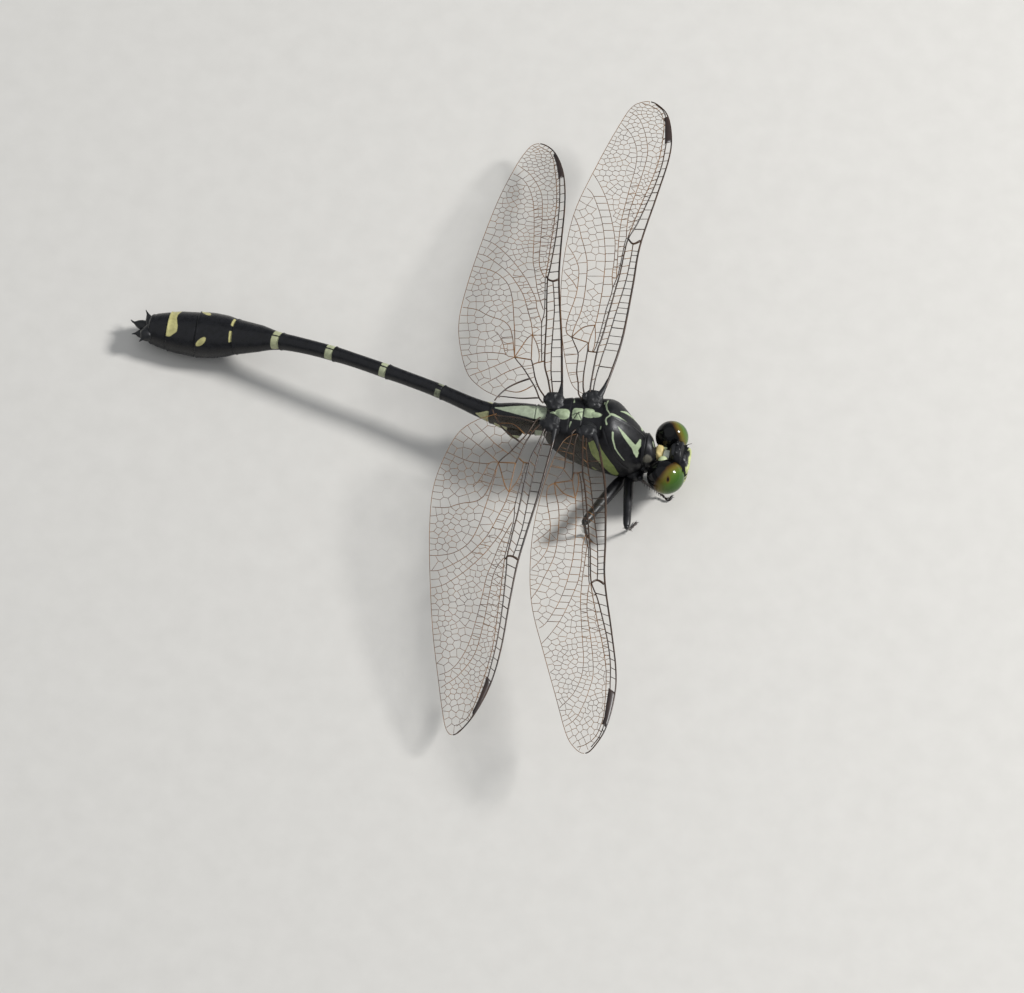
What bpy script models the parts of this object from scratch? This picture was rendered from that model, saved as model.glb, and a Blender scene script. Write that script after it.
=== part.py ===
# A male clubtail dragonfly at rest, wings spread, as a still life-size model.
# Sizes are in millimetres and are turned to metres as each mesh is made. The head points
# along +X, the left wings along +Y, +Z is up and the floor is z = 0.
import math

import bmesh
import bpy
from mathutils import Vector

MM = 0.001
JOINT_GAP = 0.1            # width of the thin cuts that part the body
MODEL_CENTRE = (-15.0, 0.1)  # middle of the whole animal, measured from the forewing hinges

# Thorax: stations from the waist to the collar, each (x, y, top, bottom, half width)
THORAX_STATIONS = (
    (-3.75, 0.05, 6.15, 3.75, 1.10),
    (-3.25, 0.02, 6.80, 3.00, 1.65),
    (-2.30, 0.00, 7.10, 2.15, 2.10),
    (-1.10, 0.00, 7.20, 1.50, 2.42),
    (0.20, -0.05, 7.25, 1.10, 2.62),
    (1.40, -0.10, 7.40, 0.85, 2.74),
    (2.40, -0.25, 6.95, 0.80, 2.64),
    (3.30, -0.36, 6.25, 1.00, 2.34),
    (4.00, -0.40, 5.50, 1.40, 1.88),
    (4.45, -0.42, 4.90, 2.00, 1.42),
)
THORAX_POWER = 2.3         # above 2 the section is a little boxy
THORAX_SIDES = 24

# Prothorax and neck: (x, y, z, half width, half height)
PROTHORAX_SIDES = 18
PROTHORAX_STATIONS = (
    (4.35, -0.42, 3.65, 1.25, 1.25),
    (4.70, -0.50, 3.70, 1.42, 1.38),
    (5.10, -0.60, 3.75, 1.30, 1.20),
    (5.40, -0.78, 3.75, 0.85, 0.80),
    (5.80, -0.92, 3.70, 0.70, 0.65),
)

# Head, measured from its centre between the eyes
HEAD_CENTRE = (6.40, -0.97, 3.60)
EYE_SPACING = 3.94         # centre to centre
EYE_HALF = (1.32, 1.23, 1.48)
EYE_MERIDIANS = 20
EYE_RINGS = 12
HEAD_SIDES = 20
HEAD_POWER = 2.4
HEAD_STATIONS = (          # (x, top, bottom, half width)
    (-0.92, 0.62, -0.55, 0.85),
    (-0.60, 1.10, -1.05, 1.25),
    (0.00, 1.42, -1.55, 1.45),
    (0.60, 1.50, -1.70, 1.50),
    (1.05, 1.38, -1.45, 1.38),
    (1.38, 0.98, -0.70, 1.10),
)
FACE_SIDES = 18
FACE_POWER = 2.5
FACE_LEVELS = (            # (z, front x, back x, half width)
    (0.85, 1.52, 0.70, 0.80),
    (0.62, 1.68, 0.60, 1.15),
    (0.10, 1.73, 0.50, 1.34),
    (-0.60, 1.68, 0.40, 1.42),
    (-1.20, 1.55, 0.20, 1.32),
    (-1.70, 1.15, 0.00, 1.00),
    (-1.92, 0.85, 0.15, 0.60),
)
ANTENNA_ROOT = (1.10, 0.72, 0.66)
ANTENNA_TIP = (2.05, 1.22, 1.08)
ANTENNA_RADII = (0.30, 0.25, 0.25)
ANTENNA_SIDES = 8

# Abdomen: the centre line's points where segments meet, from the waist to the tail
ABDOMEN_LINE = (
    (-3.85, 0.05, 4.95),
    (-4.60, 0.12, 4.90),
    (-8.20, 0.38, 4.65),
    (-12.80, 1.80, 4.70),
    (-17.45, 3.05, 4.65),
    (-22.00, 4.22, 4.35),
    (-26.40, 5.14, 3.60),
    (-30.40, 5.74, 2.30),
    (-33.40, 5.92, 1.62),
    (-35.85, 5.96, 1.52),
    (-37.10, 5.92, 1.60),
)
# Each segment's half width and half height at its front, middle and back
ABDOMEN_GIRTH = (
    ((1.12, 1.22), (1.18, 1.28), (1.20, 1.30)),
    ((1.20, 1.30), (1.20, 1.24), (0.78, 0.86)),
    ((0.76, 0.84), (0.62, 0.68), (0.58, 0.62)),
    ((0.57, 0.61), (0.56, 0.59), (0.60, 0.62)),
    ((0.58, 0.60), (0.57, 0.59), (0.62, 0.63)),
    ((0.60, 0.61), (0.62, 0.62), (0.70, 0.70)),
    ((0.70, 0.70), (0.88, 0.84), (1.42, 1.25)),
    ((1.46, 1.28), (1.78, 1.55), (1.84, 1.62)),
    ((1.82, 1.62), (1.76, 1.58), (1.55, 1.42)),
    ((1.50, 1.38), (1.38, 1.28), (1.12, 1.02)),
)
ABDOMEN_SIDES = 18
ABDOMEN_POWER = 2.1
YELLOW_SEGMENT = 8         # counted from 0 at the waist
SHORT_SEGMENT = 1.5        # a shorter one takes fewer rings
SHORT_SEGMENT_STOPS = 2
LONG_SEGMENT_STOPS = 4
LINE_STEP = 0.02           # step for the line's direction, as a share of a segment

# Tail: roots and tips measured from the last point of the abdomen's line
CERCUS_ROOT = (0.15, 0.55, 0.25)
CERCUS_BEND = (-0.38, 1.02, 0.30)
CERCUS_TIP = (-0.72, 1.46, 0.20)
TAIL_RADII = (0.42, 0.34, 0.14)
TAIL_SIDES = 10
EPIPROCT_HALF = (          # round the left half of the forked plate, from root to notch
    (0.25, 0.50, -0.35),
    (-0.60, 0.66, -0.36),
    (-1.50, 0.82, -0.08),
    (-1.52, 0.62, -0.08),
    (-0.70, 0.18, -0.36),
    (-0.50, 0.00, -0.36),
)
EPIPROCT_THICKNESS = 0.5

# Wings. Along the span r and across it c, both from the hinge, c towards the front
WING_THICKNESS = 0.5
FOREWING_FRONT = ((0.0, 0.3), (2.2, 0.7), (5.5, 1.08), (10.3, 1.08), (14.1, 1.0), (18.8, 1.5),
                  (22.5, 1.85), (24.8, 1.72), (27.2, 1.05), (28.5, 0.1), (28.9, -0.65))
FOREWING_BACK = ((0.0, -0.7), (0.9, -2.2), (4.0, -3.45), (8.0, -4.4), (12.1, -4.85), (16.5, -4.75),
                 (21.0, -3.8), (25.0, -2.8), (27.5, -2.1), (28.5, -1.45), (28.9, -0.65))
HINDWING_FRONT = ((0.0, 0.3), (3.0, 0.2), (6.4, 0.05), (11.8, -0.32), (15.4, -0.28), (19.9, -0.1),
                  (23.0, -0.3), (25.3, -0.95), (26.6, -1.75), (27.0, -2.4))
HINDWING_BACK = ((0.0, -4.7), (0.9, -6.2), (2.4, -7.4), (5.2, -8.1), (7.8, -8.25), (11.2, -7.75),
                 (15.4, -6.8), (19.9, -5.6), (23.7, -4.3), (25.7, -3.5), (26.7, -2.95), (27.0, -2.4))
WING_STEPS = 26
WING_CHORD_STEPS = 4
WING_TIP_INSET = 0.02      # the last ring stops this far short of the tip
WING_ROOT_STEP = 0.9       # how far the plate runs in from the hinge line to the thorax
WING_ROOT_SWELL = 0.32     # how much thicker each face is at the hinge knob
WING_KNOB_BACK = -1.5      # how far back the knob reaches
WINGS = {
    # hinge x, y and z, sweep forward in degrees, rise in degrees at the hinge, droop per mm of span
    "forewing_left": (0.17, 1.60, 7.02, 1.8, 5.5, 0.0038),
    "forewing_right": (0.17, -1.60, 7.02, 8.4, 5.5, 0.0038),
    "hindwing_left": (-2.90, 1.20, 6.72, -6.5, -6.4, 0.0017),
    "hindwing_right": (-2.90, -1.20, 6.72, -3.8, -6.4, 0.0017),
}

# Legs: coxa, knee, ankle and toe. The left legs are drawn in under the thorax
LEGS = {
    "fore_right": ((3.85, -0.90, 1.70), (4.42, -2.85, 2.60), (6.20, -2.72, 0.36), (6.95, -2.60, 0.20)),
    "middle_right": ((3.60, -1.75, 1.75), (3.88, -7.20, 2.35), (4.04, -6.25, 0.40), (4.46, -5.45, 0.20)),
    "hind_right": ((2.90, -1.95, 1.05), (0.48, -7.46, 2.60), (0.58, -7.05, 0.40), (1.08, -7.70, 0.20)),
    "fore_left": ((3.65, 0.35, 1.65), (4.35, 0.95, 2.20), (5.85, 0.62, 0.36), (6.60, 0.45, 0.20)),
    "middle_left": ((2.95, 1.20, 1.40), (2.05, 3.45, 2.20), (1.65, 4.30, 0.40), (1.80, 5.05, 0.20)),
    "hind_left": ((1.90, 1.30, 1.30), (-0.60, 4.00, 2.35), (-1.30, 4.60, 0.40), (-1.95, 5.20, 0.20)),
}
FEMUR_RADII = (0.34, 0.36, 0.30, 0.33)
TIBIA_RADII = (0.27, 0.25, 0.25)
TARSUS_RADII = (0.25, 0.26, 0.25)
FEMUR_KNOTS = (0.3, 0.75)   # shares along the femur where its middle radii lie
LEG_SIDES = 10
FORELEG_SHARE = 0.85       # the forelegs are this much thinner

SMOOTH_ANGLE = 40          # faces that meet at less than this are shaded smooth
BLACK = (0.012, 0.012, 0.014, 1.0)
THORAX_GREEN = (0.10, 0.13, 0.07, 1.0)
EYE_GREEN = (0.10, 0.19, 0.03, 1.0)
LIME = (0.42, 0.50, 0.24, 1.0)
WING_BROWN = (0.20, 0.15, 0.09, 1.0)
YELLOW_BLACK = (0.08, 0.07, 0.03, 1.0)


def clear_scene():
    for old in list(bpy.data.objects):
        bpy.data.objects.remove(old, do_unlink=True)


def make_material(name, colour, roughness):
    material = bpy.data.materials.new(name)
    material.use_nodes = True
    shader = material.node_tree.nodes["Principled BSDF"]
    shader.inputs["Base Color"].default_value = colour
    shader.inputs["Roughness"].default_value = roughness
    shader.inputs["Metallic"].default_value = 0.0
    return material


def make_object(name, bm, colour, roughness=0.35):
    """Turns a bmesh in millimetres into a named object with its own material."""
    for vert in bm.verts:
        vert.co = Vector((vert.co.x - MODEL_CENTRE[0], vert.co.y - MODEL_CENTRE[1],
                          max(vert.co.z, 0.0))) * MM
    bmesh.ops.recalc_face_normals(bm, faces=bm.faces[:])
    mesh = bpy.data.meshes.new(name)
    bm.to_mesh(mesh)
    bm.free()
    mesh.shade_smooth()
    mesh.set_sharp_from_angle(angle=math.radians(SMOOTH_ANGLE))
    piece = bpy.data.objects.new(name, mesh)
    mesh.materials.append(make_material(name, colour, roughness))
    bpy.context.collection.objects.link(piece)
    return piece


def make_cutter(name, bm):
    cutter = make_object(name, bm, BLACK)
    cutter.hide_render = True
    cutter.display_type = "WIRE"
    return cutter


def cut_away(piece, *cutters):
    for cutter in cutters:
        cut = piece.modifiers.new("cut_" + cutter.name, "BOOLEAN")
        cut.operation = "DIFFERENCE"
        cut.solver = "EXACT"
        cut.object = cutter


def smooth_value(points, x):
    """Height at x of a smooth curve through (x, value) points, without overshoot."""
    if x <= points[0][0]:
        return points[0][1]
    for i in range(len(points) - 1):
        (x0, y0), (x1, y1) = points[i], points[i + 1]
        if x <= x1:
            slope = (y1 - y0) / (x1 - x0)
            before = (y0 - points[i - 1][1]) / (x0 - points[i - 1][0]) if i else slope
            after = ((points[i + 2][1] - y1) / (points[i + 2][0] - x1)
                     if i + 2 < len(points) else slope)
            start = 0.5 * (before + slope) if before * slope > 0 else 0.0
            end = 0.5 * (after + slope) if after * slope > 0 else 0.0
            t = (x - x0) / (x1 - x0)
            h = x1 - x0
            return ((2 * t**3 - 3 * t**2 + 1) * y0 + (t**3 - 2 * t**2 + t) * h * start
                    + (3 * t**2 - 2 * t**3) * y1 + (t**3 - t**2) * h * end)
    return points[-1][1]


def curve_point(points, at):
    """Point number `at` (a fraction is allowed) on a smooth line through the points."""
    i = min(int(at), len(points) - 2)
    t = at - i
    p1, p2 = Vector(points[i]), Vector(points[i + 1])
    p0 = Vector(points[i - 1]) if i else p1 * 2 - p2
    p3 = Vector(points[i + 2]) if i + 2 < len(points) else p2 * 2 - p1
    return (p1 * 2 + (p2 - p0) * t + (p0 * 2 - p1 * 5 + p2 * 4 - p3) * t**2
            + (p1 * 3 - p0 - p2 * 3 + p3) * t**3) * 0.5


def signed_power(value, power):
    return math.copysign(abs(value) ** power, value)


def section(centre, sideways, upward, half_width, half_height, sides, power=2.0):
    """One closed ring of points: an ellipse, or boxier where power is above 2."""
    ring = []
    for k in range(sides):
        angle = 2 * math.pi * (k + 0.5) / sides
        across = half_width * signed_power(math.cos(angle), 2 / power)
        up = half_height * signed_power(math.sin(angle), 2 / power)
        ring.append(centre + sideways * across + upward * up)
    return ring


def loft(rings):
    """Joins rings of equal length into one closed skin with capped ends."""
    bm = bmesh.new()
    rows = [[bm.verts.new(point) for point in ring] for ring in rings]
    for row, following in zip(rows, rows[1:]):
        for k in range(len(row)):
            n = (k + 1) % len(row)
            bm.faces.new((row[k], row[n], following[n], following[k]))
    bm.faces.new(list(reversed(rows[0])))
    bm.faces.new(rows[-1])
    return bm


def level_frame(direction):
    """Side and up vectors of a section that faces along direction, kept level."""
    ahead = Vector(direction).normalized()
    sideways = Vector((0, 0, 1)).cross(ahead)
    if sideways.length < 0.2:
        sideways = Vector((0, 1, 0)).cross(ahead)
    sideways.normalize()
    return sideways, ahead.cross(sideways)


def tube(points, radii, sides=LEG_SIDES, steps=2, grow=0.0):
    """A tapered tube along a smooth line through the points, one radius at each point."""
    table = list(enumerate(radii))
    spots = [i / steps for i in range((len(points) - 1) * steps + 1)]
    line = [curve_point(points, at) for at in spots]
    rings = []
    for i, at in enumerate(spots):
        ahead = line[min(i + 1, len(line) - 1)] - line[max(i - 1, 0)]
        sideways, upward = level_frame(ahead)
        radius = smooth_value(table, at) + grow
        rings.append(section(line[i], sideways, upward, radius, radius, sides))
    return loft(rings)


def span_section(x, y, top, bottom, half_width, sides, power, grow=0.0):
    centre = Vector((x, y, 0.5 * (top + bottom)))
    return section(centre, Vector((0, 1, 0)), Vector((0, 0, 1)), half_width + grow,
                   0.5 * (top - bottom) + grow, sides, power)


def thorax_skin(grow=0.0):
    rings = []
    last = len(THORAX_STATIONS) - 1
    for i, (x, y, top, bottom, half_width) in enumerate(THORAX_STATIONS):
        x += grow if i == last else -grow if i == 0 else 0.0
        rings.append(span_section(x, y, top, bottom, half_width, THORAX_SIDES, THORAX_POWER, grow))
    return loft(rings)


def make_thorax():
    make_object("thorax", thorax_skin(), THORAX_GREEN)
    return make_cutter("thorax_cutter", thorax_skin(JOINT_GAP))


def head_skin(grow=0.0):
    cx, cy, cz = HEAD_CENTRE
    rings = []
    last = len(HEAD_STATIONS) - 1
    for i, (x, top, bottom, half_width) in enumerate(HEAD_STATIONS):
        x += grow if i == last else -grow if i == 0 else 0.0
        rings.append(span_section(cx + x, cy, cz + top, cz + bottom, half_width, HEAD_SIDES,
                                  HEAD_POWER, grow))
    return loft(rings)


def eye_ball(side, grow=0.0):
    bm = bmesh.new()
    bmesh.ops.create_uvsphere(bm, u_segments=EYE_MERIDIANS, v_segments=EYE_RINGS, radius=1.0)
    centre = Vector(HEAD_CENTRE) + Vector((0, side * EYE_SPACING / 2, 0))
    for vert in bm.verts:
        vert.co = centre + Vector(v * (half + grow) for v, half in zip(vert.co, EYE_HALF))
    return bm


def face_block():
    cx, cy, cz = HEAD_CENTRE
    rings = []
    for z, front, back, half_width in reversed(FACE_LEVELS):
        centre = Vector((cx + 0.5 * (front + back), cy, cz + z))
        rings.append(section(centre, Vector((1, 0, 0)), Vector((0, 1, 0)),
                             0.5 * (front - back), half_width, FACE_SIDES, FACE_POWER))
    return loft(rings)


def make_head(thorax_cutter):
    head_cutter = make_cutter("head_cutter", head_skin(JOINT_GAP))
    eye_cutters = [make_cutter(f"eye_cutter_{name}", eye_ball(side, JOINT_GAP))
                   for name, side in (("left", 1), ("right", -1))]
    cut_away(make_object("head", head_skin(), BLACK), *eye_cutters)
    cut_away(make_object("face", face_block(), LIME), head_cutter, *eye_cutters)
    for name, side in (("left", 1), ("right", -1)):
        make_object(f"eye_{name}", eye_ball(side), EYE_GREEN, 0.1)
        root, tip = [Vector(HEAD_CENTRE) + Vector((x, side * y, z))
                     for x, y, z in (ANTENNA_ROOT, ANTENNA_TIP)]
        feeler = tube((root, (root + tip) / 2, tip), ANTENNA_RADII, ANTENNA_SIDES)
        cut_away(make_object(f"antenna_{name}", feeler, BLACK), head_cutter, *eye_cutters)
    rings = [section(Vector((x, y, z)), Vector((0, 1, 0)), Vector((0, 0, 1)), wide, high,
                     PROTHORAX_SIDES) for x, y, z, wide, high in PROTHORAX_STATIONS]
    cut_away(make_object("prothorax", loft(rings), BLACK), thorax_cutter, head_cutter, *eye_cutters)


def abdomen_girth(segment, t):
    """Half width and half height at the share t along a segment."""
    return [smooth_value([(0.0, front), (0.5, middle), (1.0, back)], t)
            for front, middle, back in zip(*ABDOMEN_GIRTH[segment])]


def make_abdomen():
    for segment in range(len(ABDOMEN_GIRTH)):
        length = (Vector(ABDOMEN_LINE[segment + 1]) - Vector(ABDOMEN_LINE[segment])).length
        margin = 0.5 * JOINT_GAP / length
        stops = SHORT_SEGMENT_STOPS if length < SHORT_SEGMENT else LONG_SEGMENT_STOPS
        rings = []
        for i in range(stops + 1):
            t = margin + (1 - 2 * margin) * i / stops
            at = segment + t
            ahead = (curve_point(ABDOMEN_LINE, at - LINE_STEP)
                     - curve_point(ABDOMEN_LINE, at + LINE_STEP))
            sideways, upward = level_frame(ahead)
            half_width, half_height = abdomen_girth(segment, t)
            rings.append(section(curve_point(ABDOMEN_LINE, at), sideways, upward, half_width,
                                 half_height, ABDOMEN_SIDES, ABDOMEN_POWER))
        colour = YELLOW_BLACK if segment == YELLOW_SEGMENT else BLACK
        make_object(f"abdomen_{segment + 1:02d}", loft(rings), colour)


def make_tail():
    end = Vector(ABDOMEN_LINE[-1])
    tail_cutter = make_cutter("tail_cutter", last_segment_skin())
    for name, side in (("left", 1), ("right", -1)):
        points = [end + Vector((x, side * y, z)) for x, y, z in (CERCUS_ROOT, CERCUS_BEND, CERCUS_TIP)]
        cut_away(make_object(f"cercus_{name}", tube(points, TAIL_RADII, TAIL_SIDES), BLACK), tail_cutter)
    cut_away(make_object("epiproct", fork_skin(end), BLACK), tail_cutter)


def last_segment_skin():
    """The last segment's outline, a gap wider all round, to trim what grows from it."""
    start, end = Vector(ABDOMEN_LINE[-2]), Vector(ABDOMEN_LINE[-1])
    ahead = (start - end).normalized()
    sideways, upward = level_frame(ahead)
    (wide, high), _, (end_wide, end_high) = ABDOMEN_GIRTH[-1]
    rings = [section(point, sideways, upward, w + JOINT_GAP, h + JOINT_GAP, ABDOMEN_SIDES,
                     ABDOMEN_POWER)
             for point, w, h in ((start, wide, high), (end - ahead * 0.5 * JOINT_GAP, end_wide, end_high))]
    return loft(rings)


def fork_skin(end):
    """The lower tail piece: a plate that widens into two short prongs."""
    left = [end + Vector(point) for point in EPIPROCT_HALF]
    right = [end + Vector((x, -y, z)) for x, y, z in reversed(EPIPROCT_HALF[:-1])]
    half = Vector((0, 0, EPIPROCT_THICKNESS / 2))
    bm = bmesh.new()
    top = [bm.verts.new(point + half) for point in left + right]
    low = [bm.verts.new(point - half) for point in left + right]
    bm.faces.new(top)
    bm.faces.new(list(reversed(low)))
    for k in range(len(top)):
        n = (k + 1) % len(top)
        bm.faces.new((top[k], low[k], low[n], top[n]))
    bmesh.ops.triangulate(bm, faces=bm.faces[:])
    return bm


def wing_plate(name):
    """A thin plate that follows the wing's outline, rising from the hinge and drooping outward."""
    hinge_x, hinge_y, hinge_z, sweep, rise, droop = WINGS[name]
    front_edge, back_edge = ((FOREWING_FRONT, FOREWING_BACK) if name.startswith("fore")
                             else (HINDWING_FRONT, HINDWING_BACK))
    side = math.copysign(1, hinge_y)
    angle = math.radians(sweep)
    along = Vector((math.sin(angle), side * math.cos(angle), 0))
    across = Vector((math.cos(angle), -side * math.sin(angle), 0))
    length = front_edge[-1][0]
    spans = [-WING_ROOT_STEP]
    spans += [length * (1 - math.cos(math.pi * i / WING_STEPS)) / 2 for i in range(WING_STEPS)]
    spans.append(length - WING_TIP_INSET)
    rings = []
    for r in spans:
        inner = max(r, 0.0)
        lead, trail = smooth_value(front_edge, inner), smooth_value(back_edge, inner)
        if r < 0:
            trail = max(trail, WING_KNOB_BACK)
        height = hinge_z + math.tan(math.radians(rise)) * inner - droop * inner**2
        point = Vector((hinge_x, hinge_y, height)) + along * r
        half = WING_THICKNESS / 2 + WING_ROOT_SWELL * max(0.0, 1.0 - inner)
        chord = [point + across * (trail + (lead - trail) * k / WING_CHORD_STEPS)
                 for k in range(WING_CHORD_STEPS + 1)]
        rings.append([p + Vector((0, 0, half)) for p in chord]
                     + [p - Vector((0, 0, half)) for p in reversed(chord)])
    return loft(rings)


def make_wings(thorax_cutter):
    for name in WINGS:
        cut_away(make_object(name, wing_plate(name), WING_BROWN), thorax_cutter)


def make_legs(thorax_cutter):
    for name, joints in LEGS.items():
        share = FORELEG_SHARE if name.startswith("fore") else 1.0
        coxa, knee, ankle, toe = [Vector(joint) for joint in joints]
        femur_line = (coxa, *[coxa.lerp(knee, knot) for knot in FEMUR_KNOTS], knee)
        femur_radii = [radius * share for radius in FEMUR_RADII]
        tibia_line = (knee, knee.lerp(ankle, 0.5), ankle)
        tarsus_line = (ankle, ankle.lerp(toe, 0.5), toe)
        stem = f"leg_{name}"
        femur = make_object(f"{stem}_femur", tube(femur_line, femur_radii), BLACK)
        femur_cutter = make_cutter(f"{stem}_femur_cutter", tube(femur_line, femur_radii, grow=JOINT_GAP))
        tibia = make_object(f"{stem}_tibia", tube(tibia_line, TIBIA_RADII), BLACK)
        tibia_cutter = make_cutter(f"{stem}_tibia_cutter", tube(tibia_line, TIBIA_RADII, grow=JOINT_GAP))
        tarsus = make_object(f"{stem}_tarsus", tube(tarsus_line, TARSUS_RADII), BLACK)
        cut_away(femur, thorax_cutter)
        cut_away(tibia, femur_cutter)
        cut_away(tarsus, tibia_cutter)


def main():
    clear_scene()
    thorax_cutter = make_thorax()
    make_head(thorax_cutter)
    make_abdomen()
    make_tail()
    make_wings(thorax_cutter)
    make_legs(thorax_cutter)


main()
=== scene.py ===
import math
import random

import bmesh
import bpy
import numpy as np
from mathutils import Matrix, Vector, noise


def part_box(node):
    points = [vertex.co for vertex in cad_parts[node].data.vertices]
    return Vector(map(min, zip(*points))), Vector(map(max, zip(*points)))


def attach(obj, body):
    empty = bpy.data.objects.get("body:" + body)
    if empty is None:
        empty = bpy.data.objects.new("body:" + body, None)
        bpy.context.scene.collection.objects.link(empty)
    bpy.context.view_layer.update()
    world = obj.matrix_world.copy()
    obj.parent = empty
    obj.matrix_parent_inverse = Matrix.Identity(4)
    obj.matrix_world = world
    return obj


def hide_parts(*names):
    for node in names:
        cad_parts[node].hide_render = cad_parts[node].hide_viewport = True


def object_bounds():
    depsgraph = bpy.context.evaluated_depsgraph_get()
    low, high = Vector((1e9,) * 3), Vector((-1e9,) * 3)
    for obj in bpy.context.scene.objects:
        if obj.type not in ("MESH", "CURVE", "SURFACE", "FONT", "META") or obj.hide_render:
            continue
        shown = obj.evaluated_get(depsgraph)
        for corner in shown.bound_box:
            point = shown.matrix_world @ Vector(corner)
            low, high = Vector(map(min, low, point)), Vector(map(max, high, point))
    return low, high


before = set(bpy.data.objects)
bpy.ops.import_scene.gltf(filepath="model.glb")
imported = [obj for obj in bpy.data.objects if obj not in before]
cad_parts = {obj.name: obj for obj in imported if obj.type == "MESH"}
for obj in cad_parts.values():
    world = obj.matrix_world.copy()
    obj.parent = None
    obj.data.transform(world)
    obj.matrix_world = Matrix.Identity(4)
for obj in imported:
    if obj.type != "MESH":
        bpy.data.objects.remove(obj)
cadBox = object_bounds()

# Everything is modelled in millimetres of the frame and turned to metres as each mesh is made.
# The head points along +X, the left wings along +Y, and the floor is z = 0.
mm = 0.001
# fixes the noise that wrinkles the soft skins, which would otherwise differ from run to run
noise.seed_set(1795392910)


def linearColour(hexCode):
    channels = [int(hexCode[i:i + 2], 16) / 255 for i in (1, 3, 5)]
    return (*[c / 12.92 if c <= 0.04045 else ((c + 0.055) / 1.055) ** 2.4 for c in channels], 1.0)


def addNode(tree, kind, settings=None, links=None):
    node = tree.nodes.new(kind)
    for key, value in (settings or {}).items():
        if isinstance(key, int) or key in node.inputs:
            node.inputs[key].default_value = value
        else:
            setattr(node, key, value)
    for key, source in (links or {}).items():
        tree.links.new(source, node.inputs[key])
    return node


def newMaterial(name, settings):
    material = bpy.data.materials.new(name)
    material.use_nodes = True
    tree = material.node_tree
    shader = tree.nodes["Principled BSDF"]
    for key, value in settings.items():
        shader.inputs[key].default_value = linearColour(value) if isinstance(value, str) else value
    return material, tree, shader


def millimetres(tree):
    # object coordinates in millimetres, so a texture's scale is its number of features to the mm
    coords = addNode(tree, "ShaderNodeTexCoord")
    return addNode(tree, "ShaderNodeVectorMath", {"operation": "SCALE", "Scale": 1 / mm},
                   {0: coords.outputs["Object"]}).outputs["Vector"]


def ramp(tree, source, stops):
    node = addNode(tree, "ShaderNodeValToRGB", {}, {"Fac": source})
    while len(node.color_ramp.elements) < len(stops):
        node.color_ramp.elements.new(0.5)
    for element, (place, colour) in zip(node.color_ramp.elements, stops):
        element.position = place
        element.color = linearColour(colour) if isinstance(colour, str) else (colour,) * 3 + (1.0,)
    return node.outputs["Color"]


def newShell():
    return {"points": [], "faces": []}


def makePiece(name, shell, material, nodes, values=None, closed=True):
    # a mesh from the shell's points in mm; values are numbers that its material reads at each point
    mesh = bpy.data.meshes.new(name)
    mesh.from_pydata([Vector(p) * mm for p in shell["points"]], [], shell["faces"])
    if closed:
        tidy = bmesh.new()
        tidy.from_mesh(mesh)
        bmesh.ops.recalc_face_normals(tidy, faces=tidy.faces[:])
        tidy.to_mesh(mesh)
        tidy.free()
    mesh.shade_smooth()
    for attribute, numbers in (values or {}).items():
        layer = mesh.attributes.new(attribute, "FLOAT", "POINT")
        layer.data.foreach_set("value", np.array(numbers, np.float32))
    mesh.materials.append(material)
    piece = bpy.data.objects.new(name, mesh)
    bpy.context.scene.collection.objects.link(piece)
    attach(piece, "root")
    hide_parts(*nodes)


def turnsOf(sides, start=0.0):
    return [2 * math.pi * (k + start) / sides for k in range(sides)]


def boxed(value, power):
    # pushes a share of a circle out towards a square where power is above 2
    return math.copysign(abs(value) ** (2 / power), value)


def joinRings(shell, rings, capStart=True, capEnd=True):
    # skins a row of rings of equal length, with a point at each capped end
    first = len(shell["points"])
    count = len(rings[0])
    for ring in rings:
        shell["points"] += ring
    for i in range(len(rings) - 1):
        for k in range(count):
            n = (k + 1) % count
            a = first + i * count
            shell["faces"].append((a + k, a + n, a + count + n, a + count + k))
    for wanted, start in ((capStart, first), (capEnd, first + (len(rings) - 1) * count)):
        if wanted:
            middle = sum((Vector(p) for p in shell["points"][start:start + count]), Vector()) / count
            shell["points"].append(middle)
            for k in range(count):
                shell["faces"].append((start + k, start + (k + 1) % count, len(shell["points"]) - 1))


def addTube(shell, line, radii, sides=6, flat=1.0):
    # a tube along the points, with one radius or one for each point; flat squashes it in height
    line = [Vector(p) for p in line]
    if not isinstance(radii, (list, tuple)):
        radii = [radii] * len(line)
    rings = []
    sideways = None
    for i, point in enumerate(line):
        ahead = (line[min(i + 1, len(line) - 1)] - line[max(i - 1, 0)]).normalized()
        if sideways is None:
            sideways = ahead.cross(Vector((0, 0, 1)))
            if sideways.length < 0.1:
                sideways = ahead.cross(Vector((0, 1, 0)))
        sideways = (sideways - ahead * sideways.dot(ahead)).normalized()
        upward = sideways.cross(ahead)
        rings.append([point + sideways * radii[i] * math.cos(turn)
                      + upward * radii[i] * flat * math.sin(turn) for turn in turnsOf(sides, 0.5)])
    joinRings(shell, rings)


def addBall(shell, centre, halves, turns=24, levels=14, power=2.0, spin=None):
    # an ellipsoid, or a boxier body where power is above 2; spin is a rotation matrix
    centre = Vector(centre)
    rings = []
    for i in range(1, levels):
        tilt = math.pi * i / levels
        ring = []
        for turn in turnsOf(turns):
            unit = (math.sin(tilt) * math.cos(turn), math.sin(tilt) * math.sin(turn), math.cos(tilt))
            local = Vector([half * boxed(share, power) for half, share in zip(halves, unit)])
            ring.append(centre + (spin @ local if spin else local))
        rings.append(ring)
    joinRings(shell, rings)


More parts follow.
